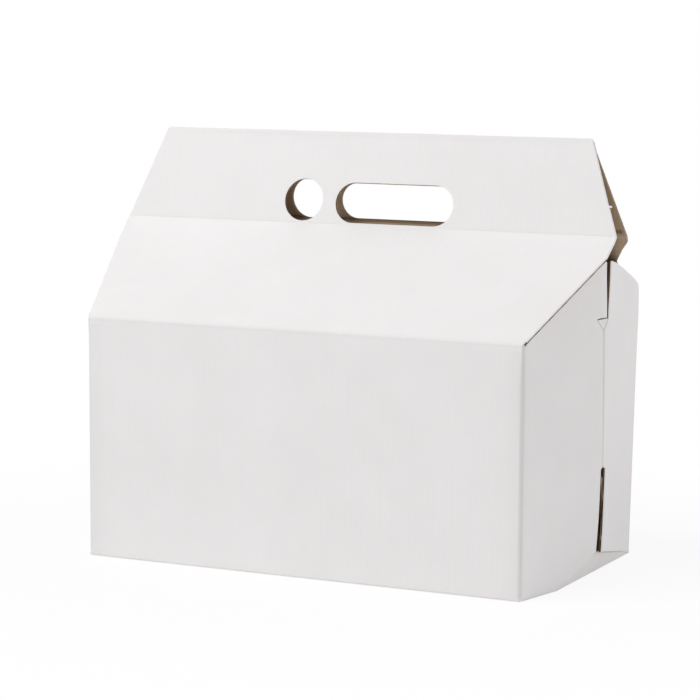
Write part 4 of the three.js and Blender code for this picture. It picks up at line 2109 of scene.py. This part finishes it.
@dataclass(frozen=True)
class Studio:
    """Camera, lamps, world and floor. Angles are in degrees."""

    frame_pixels: float = 700.0
    focal_pixels: float = 2624.6
    yaw: float = 25.64
    pitch: float = 5.9
    roll: float = 1.058
    eye: tuple[float, float, float] = (603.02 * MM, -1277.19 * MM, 257.54 * MM)
    sensor: float = 36.0
    seen_from: float = 0.05
    seen_to: float = 50.0
    world_level: float = 0.4
    key_from: tuple[float, float, float] = (-0.32, -0.5, 0.8)
    key_level: float = 1.83
    key_angle: float = 40
    back_from: tuple[float, float, float] = (0.75, 0.6, 0.35)
    back_level: float = 1.02
    back_angle: float = 60
    lamp_distance: float = 2.0
    lamp_aim: float = 0.1
    floor_half: float = 6.0
    floor_drop: float = 0.2 * MM
    floor_tone: Colour = (0.95, 0.95, 0.95)
    fade_from: float = 0.15
    fade_to: float = 0.45
    fade_start: float = 0.88

    def camera(self) -> None:
        """Makes the camera at the photograph's viewing angle."""
        yaw, pitch, roll = (math.radians(angle) for angle in (self.yaw, self.pitch, self.roll))
        forward = np.array(
            [-math.sin(yaw) * math.cos(pitch), math.cos(yaw) * math.cos(pitch), -math.sin(pitch)]
        )
        level = np.array([math.cos(yaw), math.sin(yaw), 0.0])
        over = np.cross(level, forward)
        right = math.cos(roll) * level + math.sin(roll) * over
        up = -math.sin(roll) * level + math.cos(roll) * over
        data = bpy.data.cameras.new("camera")
        data.sensor_width = self.sensor
        data.lens = self.focal_pixels / self.frame_pixels * self.sensor
        data.clip_start = self.seen_from
        data.clip_end = self.seen_to
        camera = link_object("camera", data)
        stand(camera, [right, up, -forward], np.array(self.eye))
        bpy.context.scene.camera = camera

    def lamp(
        self, name: str, direction: tuple[float, float, float], level: float, angle: float
    ) -> None:
        """Adds a soft round lamp that points at the box.

        Args:
            name: The lamp's name.
            direction: Where the light comes from.
            level: Light that it gives at the box, as a sun's strength.
            angle: How wide the lamp looks from the box, in degrees; wider is softer.
        """
        away, upright = self.lamp_distance, np.array([0.0, 0.0, 1.0])
        data = bpy.data.lights.new(name, "AREA")
        data.shape = "DISK"
        data.size = 2 * away * math.tan(math.radians(angle) / 2)
        data.energy = level * math.pi * away**2
        z = unit(np.array(direction))
        x = unit(np.cross(upright, z))
        spot = z * away + upright * self.lamp_aim
        stand(link_object(name, data), [x, np.cross(z, x), z], spot)

    def seen_directly(self, sheet: NodeSheet) -> bpy.types.NodeSocket:
        """1 for what the camera, a gloss or glass sees directly, and 0 for the light it sheds."""
        path = sheet.add("ShaderNodeLightPath")
        seen = sheet.maths("MAXIMUM", path.outputs["Is Camera Ray"], path.outputs["Is Glossy Ray"])
        return sheet.maths("MAXIMUM", seen, path.outputs["Is Transmission Ray"])

    def world(self) -> None:
        """A soft even light all round, which the camera sees as white."""
        world = bpy.data.worlds.new("studio")
        sheet = clear_sheet(world)
        light, white = (sheet.add("ShaderNodeBackground") for _ in range(2))
        for node, strength in ((light, self.world_level), (white, 1.0)):
            node.inputs["Strength"].default_value = strength
            node.inputs["Color"].default_value = (1.0, 1.0, 1.0, 1.0)
        sheet.mix_shaders(self.seen_directly(sheet), (light, white), "ShaderNodeOutputWorld")
        bpy.context.scene.world = world

    def floor(self) -> None:
        """A plain pale floor that keeps the box's shadow, and turns white further out."""
        half = self.floor_half
        corners = [(-half, -half, 0), (half, -half, 0), (half, half, 0), (-half, half, 0)]
        mesh = bpy.data.meshes.new("floor")
        mesh.from_pydata(corners, [], [(0, 1, 2, 3)])
        floor = link_object("floor", mesh)
        floor.location.z = -self.floor_drop
        material = bpy.data.materials.new("pale_floor")
        sheet = clear_sheet(material)
        matt = sheet.add("ShaderNodeBsdfDiffuse")
        sheet.feed(matt.inputs["Color"], self.floor_tone)
        white = sheet.add("ShaderNodeEmission")
        white.inputs["Strength"].default_value = 1.0
        length = sheet.add("ShaderNodeVectorMath", operation="LENGTH")
        sheet.join(sheet.add("ShaderNodeTexCoord").outputs["Object"], length.inputs[0])
        start, end = self.fade_from, self.fade_to
        fade = sheet.ramp(length.outputs["Value"], start, end, (self.fade_start, 1.0))
        share = sheet.maths("MULTIPLY", self.seen_directly(sheet), fade)
        sheet.mix_shaders(share, (matt, white), "ShaderNodeOutputMaterial")
        mesh.materials.append(material)

    def set_up(self) -> None:
        """Makes everything round the box and sets plain colour management."""
        self.camera()
        self.world()
        self.floor()
        self.lamp("key_from_front_left", self.key_from, self.key_level, self.key_angle)
        self.lamp("soft_from_back_right", self.back_from, self.back_level, self.back_angle)
        bpy.context.scene.view_settings.view_transform = "Standard"


def main() -> None:
    """Loads the frame, sets up the studio and builds the box piece by piece."""
    logging.basicConfig(level=logging.INFO, format="%(name)s: %(message)s")
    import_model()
    Studio().set_up()
    carton = Carton.from_frame()
    finishes = BoardFinishes.make(carton.board)
    ends = EndShape(carton)
    EndWrap(carton, ends, front=True).build(finishes)
    EndWrap(carton, ends, front=False).build(finishes)
    BasePanel(carton, ends).build(finishes)
    GableLid(carton).build(finishes)
    HingeStrip(carton).build(finishes)


if __name__ == "__main__":
    main()
